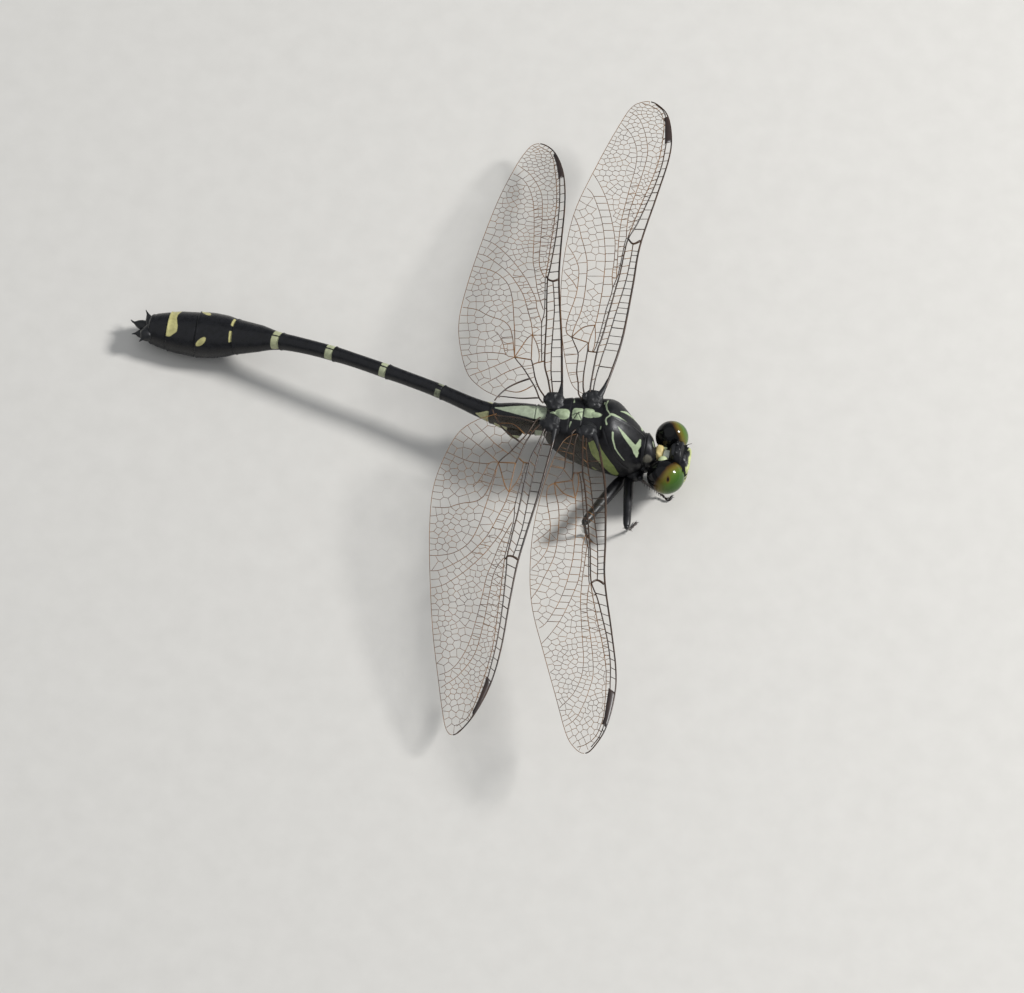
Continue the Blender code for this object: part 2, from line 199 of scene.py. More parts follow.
def smoothValue(points, x):
    # height at x of a smooth curve through (x, value) points, without overshoot
    if x <= points[0][0]:
        return points[0][1]
    for i in range(len(points) - 1):
        (x0, y0), (x1, y1) = points[i], points[i + 1]
        if x <= x1:
            slope = (y1 - y0) / (x1 - x0)
            before = (y0 - points[i - 1][1]) / (x0 - points[i - 1][0]) if i else slope
            after = ((points[i + 2][1] - y1) / (points[i + 2][0] - x1)
                     if i + 2 < len(points) else slope)
            start = 0.5 * (before + slope) if before * slope > 0 else 0.0
            end = 0.5 * (after + slope) if after * slope > 0 else 0.0
            t, h = (x - x0) / (x1 - x0), x1 - x0
            return ((2 * t**3 - 3 * t**2 + 1) * y0 + (t**3 - 2 * t**2 + t) * h * start
                    + (3 * t**2 - 2 * t**3) * y1 + (t**3 - t**2) * h * end)
    return points[-1][1]


def smoothLine(points, step):
    # points about `step` apart on a smooth line through the given ones
    points = [Vector(p) for p in points]
    line = []
    for i in range(len(points) - 1):
        p1, p2 = points[i], points[i + 1]
        p0 = points[i - 1] if i else p1 * 2 - p2
        p3 = points[i + 2] if i + 2 < len(points) else p2 * 2 - p1
        count = max(1, round((p2 - p1).length / step))
        for k in range(count):
            t = k / count
            line.append((p1 * 2 + (p2 - p0) * t + (p0 * 2 - p1 * 5 + p2 * 4 - p3) * t**2
                         + (p1 * 3 - p0 - p2 * 3 + p3) * t**3) * 0.5)
    line.append(points[-1])
    return line


def radiiAlong(profile, line, scale=1.0):
    return [smoothValue(profile, i / (len(line) - 1)) * scale for i in range(len(line))]


def fade(low, high, x):
    # 0 at low, 1 at high and smooth between them
    t = min(1.0, max(0.0, (x - low) / (high - low)))
    return t * t * (3 - 2 * t)


def wrinkle(shell, waves):
    # folds a skin by smooth noise, given as (waves to the mm, depth in mm)
    for point in shell["points"]:
        point += sum((noise.noise_vector(point * scale) * depth for scale, depth in waves), Vector())


def makeMarked(name, rings, material, nodes, reaches, tones):
    # a skin over rings, with its marks; the two points that close its ends stay dark
    shell = newShell()
    joinRings(shell, rings)
    makePiece(name, shell, material, nodes,
              {"markReach": reaches + [-1.0, -1.0], "markTone": tones + [0.0, 0.0]})


def cornersOf(node):
    low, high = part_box(node)
    return low / mm, high / mm


def cutThrough(node, point, normal):
    # where the solid's edges cross a plane
    spots = verticesOf(node)
    edges = np.array([e.vertices[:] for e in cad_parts[node].data.edges])
    depth = (spots - np.array(point)) @ np.array(normal)
    a, b = depth[edges[:, 0]], depth[edges[:, 1]]
    crossed = a * b < 0
    share = (a[crossed] / (a[crossed] - b[crossed]))[:, None]
    start, end = spots[edges[crossed, 0]], spots[edges[crossed, 1]]
    return start + (end - start) * share


def sliceOf(node, point, normal, sideways, upward):
    # centre, half width and half height of the solid's section
    spots = cutThrough(node, point, normal)
    across, up = spots @ np.array(sideways), spots @ np.array(upward)
    centre = Vector(point)
    centre += Vector(sideways) * ((across.min() + across.max()) / 2 - centre.dot(Vector(sideways)))
    centre += Vector(upward) * ((up.min() + up.max()) / 2 - centre.dot(Vector(upward)))
    return centre, (across.max() - across.min()) / 2, (up.max() - up.min()) / 2


def verticesOf(node):
    return np.array([v.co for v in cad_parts[node].data.vertices]) / mm


def levelFrame(ahead):
    # the level direction across the given one, and the third at right angles to both
    sideways = Vector((0, 0, 1)).cross(ahead).normalized()
    return sideways, ahead.cross(sideways)


def axisOf(node):
    # the two ends of a solid's centre line, along its longest way
    spots = verticesOf(node)
    middle = (spots.min(0) + spots.max(0)) / 2
    ahead = Vector(np.linalg.svd(spots - spots.mean(0), full_matrices=False)[2][0])
    for _ in range(3):
        reach = (spots - middle) @ np.array(ahead)
        sideways, upward = levelFrame(ahead)
        ends = []
        for share in (0.3, 0.7):
            place = Vector(middle) + ahead * (reach.min() + share * (reach.max() - reach.min()))
            ends.append(sliceOf(node, place, ahead, sideways, upward)[0])
        ahead = (ends[1] - ends[0]).normalized()
        middle = np.array(ends[0])
    reach = (spots - middle) @ np.array(ahead)
    return Vector(middle) + ahead * reach.min(), Vector(middle) + ahead * reach.max()


chitinSettings = {
    "black": "#08080a", "sheen": "#151519", "roughness": (0.28, 0.52),
    "blotches": 2.6, "clouds": 3.2, "ragged": 9.0,   # features to the mm, so 0.4, 0.3 and 0.1 mm wide
    "edge": 0.075, "wander": 0.06,                   # mm over which a mark fades in, and wanders
    "grain": 0.07,                                   # mm; really about 0.02, drawn coarser to show
}
markColours = {"thorax": ("#a6b492", "#8d9a5c"), "abdomen": ("#a9b39a", "#c4bd80"),
               "head": ("#b9c98c", "#cdb877")}


def chitinMaterial(name, pale=None, black=None, rough=0.0, shine=0.42, relief=0.25):
    # moulted chitin, hardened and waxed by the insect: near-black with a faint blue sheen,
    # tight highlights that break up on a fine grain, and pale pigment where it is marked
    material, tree, shader = newMaterial(name, {"IOR": 1.54, "Specular IOR Level": shine,
                                                "Coat Weight": 0.08, "Coat Roughness": 0.25})
    place = millimetres(tree)
    mottle = addNode(tree, "ShaderNodeTexNoise", {"Scale": chitinSettings["blotches"], "Detail": 6.0},
                     {"Vector": place})
    dark = ramp(tree, mottle.outputs["Fac"], [(0.35, black or chitinSettings["black"]),
                                             (0.75, chitinSettings["sheen"])])
    colour = dark
    if pale:
        # markReach is the distance in mm inside the pale mark, markTone picks between its two hues
        reach = addNode(tree, "ShaderNodeAttribute", {"attribute_name": "markReach"}).outputs["Fac"]
        tone = addNode(tree, "ShaderNodeAttribute", {"attribute_name": "markTone"}).outputs["Fac"]
        ragged = addNode(tree, "ShaderNodeTexNoise", {"Scale": chitinSettings["ragged"], "Detail": 3.0},
                         {"Vector": place})
        shifted = addNode(tree, "ShaderNodeMath", {"operation": "MULTIPLY_ADD",
                                                   1: chitinSettings["wander"]},
                          {0: ragged.outputs["Fac"], 2: reach}).outputs["Value"]
        edge = addNode(tree, "ShaderNodeMapRange", {"From Min": 0.0, "From Max": chitinSettings["edge"],
                                                    "interpolation_type": "SMOOTHSTEP"},
                       {"Value": shifted}).outputs["Result"]
        hue = addNode(tree, "ShaderNodeMix", {"data_type": "RGBA"}, {0: tone})
        hue.inputs[6].default_value = linearColour(pale[0])
        hue.inputs[7].default_value = linearColour(pale[1])
        cloud = addNode(tree, "ShaderNodeTexNoise", {"Scale": chitinSettings["clouds"], "Detail": 5.0},
                        {"Vector": place})
        shade = ramp(tree, cloud.outputs["Fac"], [(0.3, 0.72), (0.7, 1.0)])
        clouded = addNode(tree, "ShaderNodeMix", {"data_type": "RGBA", "blend_type": "MULTIPLY", 0: 1.0},
                          {6: hue.outputs[2], 7: shade})
        colour = addNode(tree, "ShaderNodeMix", {"data_type": "RGBA"},
                         {0: edge, 6: dark, 7: clouded.outputs[2]}).outputs[2]
    tree.links.new(colour, shader.inputs["Base Color"])
    low, high = [value + rough for value in chitinSettings["roughness"]]
    patchy = addNode(tree, "ShaderNodeMapRange", {"From Min": 0.3, "From Max": 0.7, "To Min": low,
                                                  "To Max": high}, {"Value": mottle.outputs["Fac"]})
    tree.links.new(patchy.outputs["Result"], shader.inputs["Roughness"])
    grain = addNode(tree, "ShaderNodeTexVoronoi", {"Scale": 1 / chitinSettings["grain"]},
                    {"Vector": place})
    bump = addNode(tree, "ShaderNodeBump", {"Strength": relief, "Distance": 0.02 * mm},
                   {"Height": grain.outputs["Distance"]})
    tree.links.new(bump.outputs["Normal"], shader.inputs["Normal"])
    return material


blackChitin = chitinMaterial("moulted chitin, waxed black")
roughChitin = chitinMaterial("moulted chitin, folded and dull", rough=0.18)
brownChitin = chitinMaterial("moulted chitin, thin brown", black="#2b1a10")
thoraxChitin = chitinMaterial("moulted chitin, green stripes", markColours["thorax"], rough=0.06,
                              shine=0.24)
abdomenChitin = chitinMaterial("moulted chitin, cream bands", markColours["abdomen"], rough=-0.10,
                               shine=0.28, relief=0.35)
neckSkin = chitinMaterial("neck skin, soft and cream", ("#cdb877", "#d8c588"), rough=0.2)
# the plate behind the eyes is pale grey-green of its own, and its first hue is set lighter still as
# painted light, to make up for the shade that the eyes cast on it
occiputPaleWithPaintedLight = chitinMaterial("moulted chitin, grey-green plate lightened as painted light", ("#d2d6c6", "#c6d399"))
headChitin = chitinMaterial("moulted chitin, lime face", markColours["head"], rough=0.04, shine=0.2)
collarChitin = chitinMaterial("moulted chitin, dusty collar", ("#6f6c60", "#8c957e"), rough=0.12,
                              shine=0.3)


# midline is in degrees to the left of the top; the last row is in mm: how deep the back is hollowed
# between the wings, how high its plates stand, and the shoulders, the left flank, the keel and the
# seams between the plates
thoraxSettings = {"power": 2.3, "step": 0.05, "sides": 300, "midline": 4.0, "radius": 2.45,
                  "hollow": 0.20, "plate": 0.17, "shoulder": 0.26, "flank": 0.30, "keel": 0.07,
                   "seam": 0.05}
# strokes: (mm from the waist, degrees from the top towards the left, half width in mm)
thoraxStrokes = {
    "dorsal": [(5.97, -12, 0.03), (6.5, -20, 0.16), (7.0, -27.5, 0.21), (7.42, -35, 0.25),
               (7.6, -48, 0.20), (7.68, -58, 0.04)],
    "hook": [(7.52, -38, 0.22), (7.72, -26, 0.18), (7.8, -12, 0.07)],
    "antehumeral": [(5.63, -26, 0.08), (5.69, -35.6, 0.08), (5.95, -48, 0.055), (6.27, -56, 0.045),
                    (6.72, -65.6, 0.03)],
    "lateral": [(3.95, -40, 0.3), (4.2, -50, 0.43), (4.5, -63.6, 0.48), (4.98, -76, 0.50),
                (5.58, -90, 0.48), (5.98, -105, 0.38), (6.14, -113, 0.12)],
    "rearFlank": [(4.25, -108, 0.12), (4.4, -114, 0.16)],
    "fleck": [(4.6, 33, 0.05), (4.62, 29, 0.05)],
    "fleckRear": [(2.06, 42, 0.05), (2.16, 30, 0.07)],
}
antealarStrokes = [
    [(4.83, 37, 0.05), (4.75, 25, 0.075), (4.89, 12, 0.055), (5.2, 3, 0.05)],
    [(5.22, 1, 0.05), (4.96, -5, 0.055), (4.92, -9, 0.06), (5.05, -16, 0.075)],
    [(5.2, 3, 0.06), (5.51, 4.5, 0.10), (6.0, 6, 0.075), (6.6, 5.8, 0.02)],
]
# plates between the wings: (mm from the waist, degrees, half length, half width, power)
backPlates = [(0.60, -5, 0.26, 0.18, 2.0), (1.36, -5, 0.62, 0.62, 2.6), (2.62, -1, 0.46, 0.60, 4.5),
              (3.46, 4, 0.50, 0.47, 3.0), (3.95, 2, 0.60, 0.26, 2.0)]
# dark creases across the plates, as the strokes
creases = [[(2.0, -60, 0.05), (2.05, 60, 0.05)], [(3.03, -60, 0.045), (3.06, 60, 0.045)],
           [(2.15, -6, 0.03), (2.62, -1, 0.035), (3.0, -15, 0.03)],
           [(2.3, -16, 0.03), (2.62, -1, 0.035), (3.0, 5, 0.03)]]
sutures = [[(4.9, -26), (5.35, -45), (6.1, -66), (7.0, -84)], [(3.7, -40), (4.5, -80), (5.7, -118)],
           [(1.9, -55), (2.9, -85), (4.3, -122)]]


def stationsOf(node):
    # the rings of a solid lofted along X: (x, y, top, bottom, half width)
    spots = verticesOf(node)
    stations = []
    for x in sorted({round(float(v), 2) for v in spots[:, 0]}):
        ring = spots[abs(spots[:, 0] - x) < 0.02]
        if not stations or x - stations[-1][0] > 0.05:
            stations.append((x, (ring[:, 1].min() + ring[:, 1].max()) / 2, ring[:, 2].max(),
                             ring[:, 2].min(), (ring[:, 1].max() - ring[:, 1].min()) / 2))
    return stations


def strokeReach(stroke, along, arc):
    # how far inside a stroke of varying width a spot lies, in mm
    best = -9.0
    for (x0, a0, w0), (x1, a1, w1) in zip(stroke, stroke[1:]):
        dx, da = x1 - x0, a1 - a0
        t = min(1.0, max(0.0, ((along - x0) * dx + (arc - a0) * da) / (dx * dx + da * da)))
        best = max(best, w0 + (w1 - w0) * t - math.hypot(along - x0 - dx * t, arc - a0 - da * t))
    return best


def makeThorax():
    stations = stationsOf("thorax")
    columns = [[(s[0], s[i]) for s in stations] for i in range(1, 5)]
    start, end = stations[0][0], stations[-1][0]
    perDegree = math.radians(1) * thoraxSettings["radius"]
    middle = thoraxSettings["midline"]
    strokes = []
    for name, stroke in thoraxStrokes.items():
        for side in (1, -1):
            if name == "antehumeral" and side == -1:
                stroke = stroke[2:]
            strokes.append((name, [(x, (a if side == 1 else 2 * middle - a) * perDegree, w)
                                   for x, a, w in stroke]))
    strokes += [("antealar", [(x, a * perDegree, w) for x, a, w in stroke])
                for stroke in antealarStrokes]
    seam = thoraxSettings["seam"]
    grooves = [[(x, (a if side == 1 else 2 * middle - a) * perDegree, seam) for x, a in groove]
               for groove in sutures for side in (1, -1)]
    folds = [[(x, a * perDegree, w) for x, a, w in crease] for crease in creases]
    rings, reaches, tones = [], [], []
    count = round((end - start) / thoraxSettings["step"])
    power = thoraxSettings["power"]
    for i in range(count + 1):
        x = start + (end - start) * i / count
        along = x - start
        yMid, top, bottom, half = [smoothValue(column, x) for column in columns]
        zMid, tall = (top + bottom) / 2, (top - bottom) / 2
        ring = []
        for turn in turnsOf(thoraxSettings["sides"]):
            unitY, unitZ = boxed(math.sin(turn), power), boxed(math.cos(turn), power)
            degrees = math.degrees(math.atan2(unitY, unitZ))
            arc = degrees * perDegree
            reach, tone, lift = -9.0, 0.0, 0.0
            for name, stroke in strokes:
                inside = strokeReach(stroke, along, arc)
                if inside > reach:
                    reach, tone = inside, 1.0 if name in ("lateral", "rearFlank") else 0.0
            plate = 0.0
            for plateX, angle, long, wide, square in backPlates:
                size = (abs((along - plateX) / long) ** square
                        + abs((arc - angle * perDegree) / wide) ** square) ** (1 / square)
                inside = (1 - size) * min(long, wide)
                if inside > reach:
                    reach, tone = inside, 0.0
                plate = max(plate, fade(0.0, 1.0, 1.25 * (1 - size)) if size < 1 else 0.0)
            hollow = fade(0.2, 0.9, along) * fade(5.0, 4.5, along) * fade(46, 26, abs(degrees + 2))
            lift += -thoraxSettings["hollow"] * hollow + thoraxSettings["plate"] * plate * hollow
            shoulder = fade(5.6, 6.8, along) * math.exp(-((abs(degrees - 5) - 50) / 20) ** 2)
            flank = fade(6.2, 7.5, along) * math.exp(-((degrees - 62) / 40) ** 2)
            keel = math.exp(-((degrees - 5) * perDegree / 0.09) ** 2) * fade(4.9, 5.3, along)
            lift -= thoraxSettings["shoulder"] * shoulder
            lift -= thoraxSettings["flank"] * flank
            lift += thoraxSettings["keel"] * keel
            for groove in grooves:
                lift -= seam * fade(-0.06, 0.04, strokeReach(groove, along, arc))
            if 1.9 < along < 3.2 and abs(degrees) < 70:   # only here can a crease reach
                depth = max(strokeReach(fold, along, arc) for fold in folds)
                reach = min(reach, -depth)
                lift -= seam * fade(-0.08, 0.02, depth)
            ring.append(Vector((x, yMid + (half + lift) * unitY, zMid + (tall + lift) * unitZ)))
            reaches.append(reach)
            tones.append(tone)
        rings.append(ring)
    makeMarked("thorax_shell", rings, thoraxChitin, ["thorax"], reaches, tones)
    return stations


thoraxStations = makeThorax()
print("thorax made")


# ahead moves each joint forward of the gap between two solids, in mm; flare widens a segment, as
# (share of its length, factor); keel, belly and bevel are in mm
abdomenSettings = {"segments": 10, "sides": 96, "step": 0.1, "power": 2.1, "groove": 0.05, "rim": 0.05,
                   "radius": 0.75, "keel": 0.018, "belly": 0.05, "bevel": 0.22,
                   "ahead": [0, 0, 0.36, 0.38, 0.40, 0.41, 0.58, 0.24, 0.27],
                   "flare": {7: [(0, 1.0), (0.2, 1.16), (0.35, 1.32), (0.52, 1.44), (0.68, 1.42),
                                 (0.84, 1.32), (1, 1.20)],
                             8: [(0, 1.19), (0.5, 1.11), (1, 1.05)],
                             9: [(0, 1.03), (1, 1.0)]}}
# marks: segment, start and end as shares of it, first and last degree from the top, tone
abdomenMarks = [
    (1, 0.0, 1.0, -30, 30, 0.0), (1, 0.1, 0.9, -115, -75, 0.0), (1, 0.1, 0.9, 75, 115, 0.0),
    (2, 0.56, 0.86, -118, -82, 0.5), (2, 0.56, 0.86, 82, 118, 0.5),
    (3, 0.0, 0.26, -128, -30, 0.6), (3, 0.0, 0.26, 30, 128, 0.6),
    (4, 0.0, 0.10, -100, -22, 0.2), (4, 0.0, 0.10, 22, 100, 0.2),
    (5, 0.0, 0.12, -100, -6, 0.25), (5, 0.0, 0.12, 6, 100, 0.25),
    (6, 0.0, 0.14, -100, -5, 0.3), (6, 0.0, 0.14, 5, 100, 0.3),
    (7, 0.0, 0.15, -100, -4, 0.4), (7, 0.0, 0.15, 4, 100, 0.4),
    (8, 0.0, 0.07, -46, -9, 1.0), (8, 0.0, 0.07, 9, 46, 1.0),
    (9, 0.62, 1.0, -44, 60, 1.0),
]


def makeAbdomen():
    settings = abdomenSettings
    power = settings["power"]
    names = [f"abdomen_{i:02d}" for i in range(1, settings["segments"] + 1)]
    boxes = [cornersOf(name) for name in names]
    middles = [(low + high) / 2 for low, high in boxes]
    first = middles[0] + (middles[0] - middles[1]).normalized() * 0.6
    last = middles[-1] + (middles[-1] - middles[-2]).normalized() * 0.9
    marrow = [last] + middles[::-1] + [first]
    count = round((first.x - last.x) / settings["step"])
    path = []
    for i in range(count + 1):
        x = first.x + (last.x - first.x) * i / count
        path.append(Vector((x, *[smoothValue([(p.x, p[axis]) for p in marrow], x) for axis in (1, 2)])))
    travelled = [0.0]
    for a, b in zip(path, path[1:]):
        travelled.append(travelled[-1] + (b - a).length)
    ahead, behind = [p.x for p in path][::-1], travelled[::-1]
    columns = [[], [], [], [], []]
    for node, (low, high) in zip(names, boxes):
        shares = (0.12, 0.3, 0.5, 0.7, 0.85) if high.x - low.x > 3.2 else (0.3, 0.5, 0.7)
        for share in shares:
            at = float(np.interp(high.x + (low.x - high.x) * share, ahead, behind))
            i = min(max(int(np.searchsorted(travelled, at)), 1), len(path) - 2)
            along = (path[i - 1] - path[i + 1]).normalized()
            centre, wide, tall = sliceOf(node, path[i], along, *levelFrame(along))
            for column, value in zip(columns, (*centre, wide, tall)):
                column.append((travelled[i], value))
    gaps = [(boxes[i][0].x + boxes[i + 1][1].x) / 2 + settings["ahead"][i]
            for i in range(len(boxes) - 1)]
    total = travelled[-1] - 0.25
    starts = [0.0] + [float(np.interp(x, ahead, behind)) for x in gaps] + [total]
    perDegree = math.radians(1) * settings["radius"]
    count = round(total / settings["step"])
    stops = sorted({round(total * i / count, 4) for i in range(count + 1)}
                   | {round(s + d, 4) for s in starts[1:-1]
                      for d in (-0.12, -0.08, -0.04, -0.02, 0.0, 0.03, 0.07, 0.12)})
    rings, reaches, tones = [], [], []
    for at in stops:
        i = min(int(np.searchsorted(travelled, at)), len(path) - 2)
        centre = path[0]
        if i:
            part = (at - travelled[i - 1]) / (travelled[i] - travelled[i - 1])
            centre = path[i - 1].lerp(path[i], part)
        before, after = path[max(i - 4, 0)], path[min(i + 4, len(path) - 1)]
        sideways, upward = levelFrame((before - after).normalized())
        middle = Vector([smoothValue(column, at) for column in columns[:3]])
        if columns[0][0][0] < at < columns[0][-1][0]:
            centre += sideways * sideways.dot(middle - centre) + upward * upward.dot(middle - centre)
        wide, tall = [smoothValue(column, at) for column in columns[3:]]
        segment = max(i for i, s in enumerate(starts[:-1]) if at >= s - 1e-6) + 1
        share = (at - starts[segment - 1]) / (starts[segment] - starts[segment - 1])
        if segment in settings["flare"]:
            swell = smoothValue(settings["flare"][segment], share)
            wide, tall = wide * swell, tall * (0.6 + 0.4 * swell)
        lift = 0.0
        for s in starts[1:-1]:
            gap = at - s
            if gap < 0:   # a raised rim, then a groove
                lift += (settings["rim"] * fade(-0.3, -0.06, gap)
                         - (settings["groove"] + settings["rim"]) * fade(-0.05, 0.0, gap))
            else:
                lift -= settings["groove"] * fade(0.14, 0.0, gap)
        lift -= settings["bevel"] * fade(total - 0.2, total + 0.1, at)
        ring = []
        for turn in turnsOf(settings["sides"]):
            unitY, unitZ = boxed(math.sin(turn), power), boxed(math.cos(turn), power)
            degrees = math.degrees(math.atan2(unitY, unitZ))
            under = -settings["belly"] * math.exp(-((abs(degrees) - 152) / 7) ** 2)   # belly plates
            keel = settings["keel"] * math.exp(-(degrees / 4) ** 2)
            point = (centre + sideways * (wide + lift + under) * unitY
                     + upward * (tall + lift + under + keel) * unitZ)
            point.z = max(point.z, 0.01)
            ring.append(point)
            reach, tone = -1.0, 0.0
            length = starts[segment] - starts[segment - 1]
            size = perDegree * (wide + tall) / 1.5
            for which, begin, stop, first, last, hue in abdomenMarks:
                if which == segment:
                    inside = min((share - begin) * length + (0.1 if begin == 0 else 0),
                                 (stop - share) * length + (0.1 if stop == 1 else 0),
                                 (degrees - first) * size, (last - degrees) * size)
                    if inside > reach:
                        reach, tone = inside, hue
            if segment == 8:   # a slanted oval spot on each side
                inside = 1 - math.hypot((share - 0.82 - 0.007 * (abs(degrees) - 45)) / 0.11,
                                        (abs(degrees) - 45) / 13)
                if inside * 0.3 > reach:
                    reach, tone = inside * 0.3, 1.0
            if segment == 4:   # a faint ring
                reach = min(reach, 0.005)
            if segment == 3:   # the patch on each side comes to a point behind
                reach = min(reach, (0.27 - share - 0.005 * abs(abs(degrees) - 74)) * length)
            if segment == 2:   # a wedge along the back that narrows rearward
                inside = (34 * (1 - share) ** 0.75 - 3 - abs(degrees)) * size
                if share < 0.93 and inside > reach:
                    reach, tone = inside, 0.0
            if segment == 9 and share < 0.8:   # the patch's front edge is wavy
                wave = 0.05 * math.cos(math.radians(degrees * 4.5 - 90))
                reach = min(reach, (share - 0.66 - wave) * length)
            if segment == 9:   # and its lower corner is cut off
                reach = min(reach, (share - 0.62 - 0.013 * max(0.0, -26 - degrees)) * length)
            reaches.append(reach)
            tones.append(tone)
        rings.append(ring)
    makeMarked("abdomen_shell", rings, abdomenChitin, names, reaches, tones)

    # the ear-like lobes low on both sides of the second segment
    low, high = boxes[1]
    shell = newShell()
    for side, edge in ((1, high.y), (-1, low.y)):
        root = Vector(((low.x + high.x) / 2 + 0.25, edge - side * 0.05, (low.z + high.z) / 2 - 0.45))
        addBall(shell, root, (0.66, 0.38, 0.40), 32, 18)
        addBall(shell, root + Vector((0.06, side * 0.24, -0.10)), (0.44, 0.26, 0.26), 32, 18)
    quarter = len(shell["points"]) // 4   # four balls; the small ones are pale
    reaches = [1.0 if (i // quarter) % 2 else -1.0 for i in range(len(shell["points"]))]
    makePiece("auricles", shell, abdomenChitin, ["abdomen_02"],
              {"markReach": reaches, "markTone": [0.35] * len(reaches)})


makeAbdomen()
print("abdomen made")


# radii in mm along each horn and branch; beyond is how far each branch (1 is the left) outreaches
tailSettings = {"horn": {"left": [(0, 0.42), (0.4, 0.36), (0.6, 0.22), (0.76, 0.10), (1, 0.03)],
                         "right": [(0, 0.52), (0.45, 0.60), (0.66, 0.46), (0.8, 0.15), (1, 0.03)]},
                "fork": [(0, 0.46), (0.45, 0.46), (0.66, 0.32), (0.8, 0.13), (1, 0.03)],
                "beyond": {1: 0.26, -1: -0.05}}


def makeTail():
    for side in ("left", "right"):
        ends = sorted(axisOf(f"cercus_{side}"), key=lambda p: -p.x)
        root, tip = ends[0].lerp(ends[1], -0.25), ends[1]
        out = Vector((0, 0.12 if side == "left" else -0.12, 0.02))
        line = smoothLine([root, root.lerp(tip, 0.5) + out, tip], 0.08)
        shell = newShell()
        addTube(shell, line, radiiAlong(tailSettings["horn"][side], line), 14, 0.85)
        makePiece(f"cercus_{side}_horn", shell, blackChitin, [f"cercus_{side}"])
    low, high = cornersOf("epiproct")
    middle = (low + high) / 2
    wide = (high.y - low.y) / 2
    shell = newShell()
    for side in (1, -1):
        beyond = tailSettings["beyond"][side]
        line = smoothLine([(high.x + 0.25, middle.y + side * 0.22, middle.z - 0.02),
                           (middle.x, middle.y + side * 0.42, middle.z - 0.05),
                           (low.x + 0.3 - beyond, middle.y + side * (wide - 0.30), middle.z + 0.04),
                           (low.x + 0.02 - beyond, middle.y + side * (wide - 0.16), middle.z + 0.14)],
                          0.08)
        addTube(shell, line, radiiAlong(tailSettings["fork"], line), 12, 0.75)
    makePiece("epiproct_fork", shell, blackChitin, ["epiproct"])


makeTail()
print("tail made")


headSettings = {"power": 2.4, "step": 0.05, "sides": 120}
# lumps on the head: (from the eyes' middle in mm, half sizes in mm, sides, rings, power)
headLumps = {
    "plate": [((-0.03, -0.12, 0.46), (0.46, 0.42, 0.26), 48, 24, 3.0)],
    "temples": [((-0.36, -0.94, 0.90), (0.38, 0.40, 0.32), 32, 16, 2.0),
                ((-0.36, 0.50, 0.16), (0.32, 0.26, 0.24), 32, 16, 2.0)],
    "neck": [((-0.76, 0.05, 0.28), (0.36, 0.64, 0.60), 48, 24, 2.8)],
    "ridge": [((0.42, 0, 1.20), (0.30, 0.60, 0.24), 36, 18, 2.4)],
    "eyelets": [((0.80, 0.0, 1.36), (0.13, 0.13, 0.13), 20, 12, 2.0),
                ((0.62, 0.40, 1.48), (0.12, 0.12, 0.12), 20, 12, 2.0),
                ((0.62, -0.40, 1.48), (0.12, 0.12, 0.12), 20, 12, 2.0)],
}
# facet is in mm: a real one is about 0.03, drawn coarser or it wouldn't show. swell and aside fit
# each globe to the head, turn brings the green round to the front, and pupil is the dark slit
eyeSettings = {"turns": 96, "levels": 64, "facet": 0.09, "green": "#4b6422", "leaf": "#35551f",
               "olive": "#64591f", "brown": "#402c12", "black": "#060607", "edge": 0.26,
               "swell": {"left": (1.01, 1.01, 1.0), "right": (1.15, 1.15, 1.0)},
               "aside": {"left": (0, -0.10, 0), "right": (0, 0.13, 0)},
               "turn": {"left": 0.02, "right": -0.05},
               "pupil": {"towards": (0.20, -0.63, 0.74), "along": (-0.05, 0.80, 0.60),
                         "size": (0.19, 0.085), "depth": 0.62}}


def eyeMaterial():
    # faceted cornea over pigment: wet gloss, green in front and black behind, with fine facets
    material, tree, shader = newMaterial("cornea, faceted and wet", {"IOR": 1.52, "Roughness": 0.13,
                                                                   "Specular IOR Level": 0.26})
    place = millimetres(tree)
    front = addNode(tree, "ShaderNodeAttribute", {"attribute_name": "front"}).outputs["Fac"]
    cloud = addNode(tree, "ShaderNodeTexNoise", {"Scale": 1.1, "Detail": 3.0}, {"Vector": place})
    moved = addNode(tree, "ShaderNodeMath", {"operation": "MULTIPLY_ADD", 1: 0.24},
                    {0: cloud.outputs["Fac"], 2: front}).outputs["Value"]
    edge = eyeSettings["edge"]
    colour = ramp(tree, moved, [(edge - 0.07, eyeSettings["black"]), (edge + 0.03, eyeSettings["brown"]),
                                (edge + 0.24, eyeSettings["olive"]), (edge + 0.50, eyeSettings["green"]),
                                (edge + 0.85, eyeSettings["leaf"])])
    tree.links.new(colour, shader.inputs["Base Color"])
    facets = addNode(tree, "ShaderNodeTexVoronoi", {"Scale": 1 / eyeSettings["facet"]},
                     {"Vector": place})
    bump = addNode(tree, "ShaderNodeBump", {"Strength": 0.12, "Distance": 0.01 * mm, "invert": True},
                   {"Height": facets.outputs["Distance"]})
    tree.links.new(bump.outputs["Normal"], shader.inputs["Normal"])
    return material


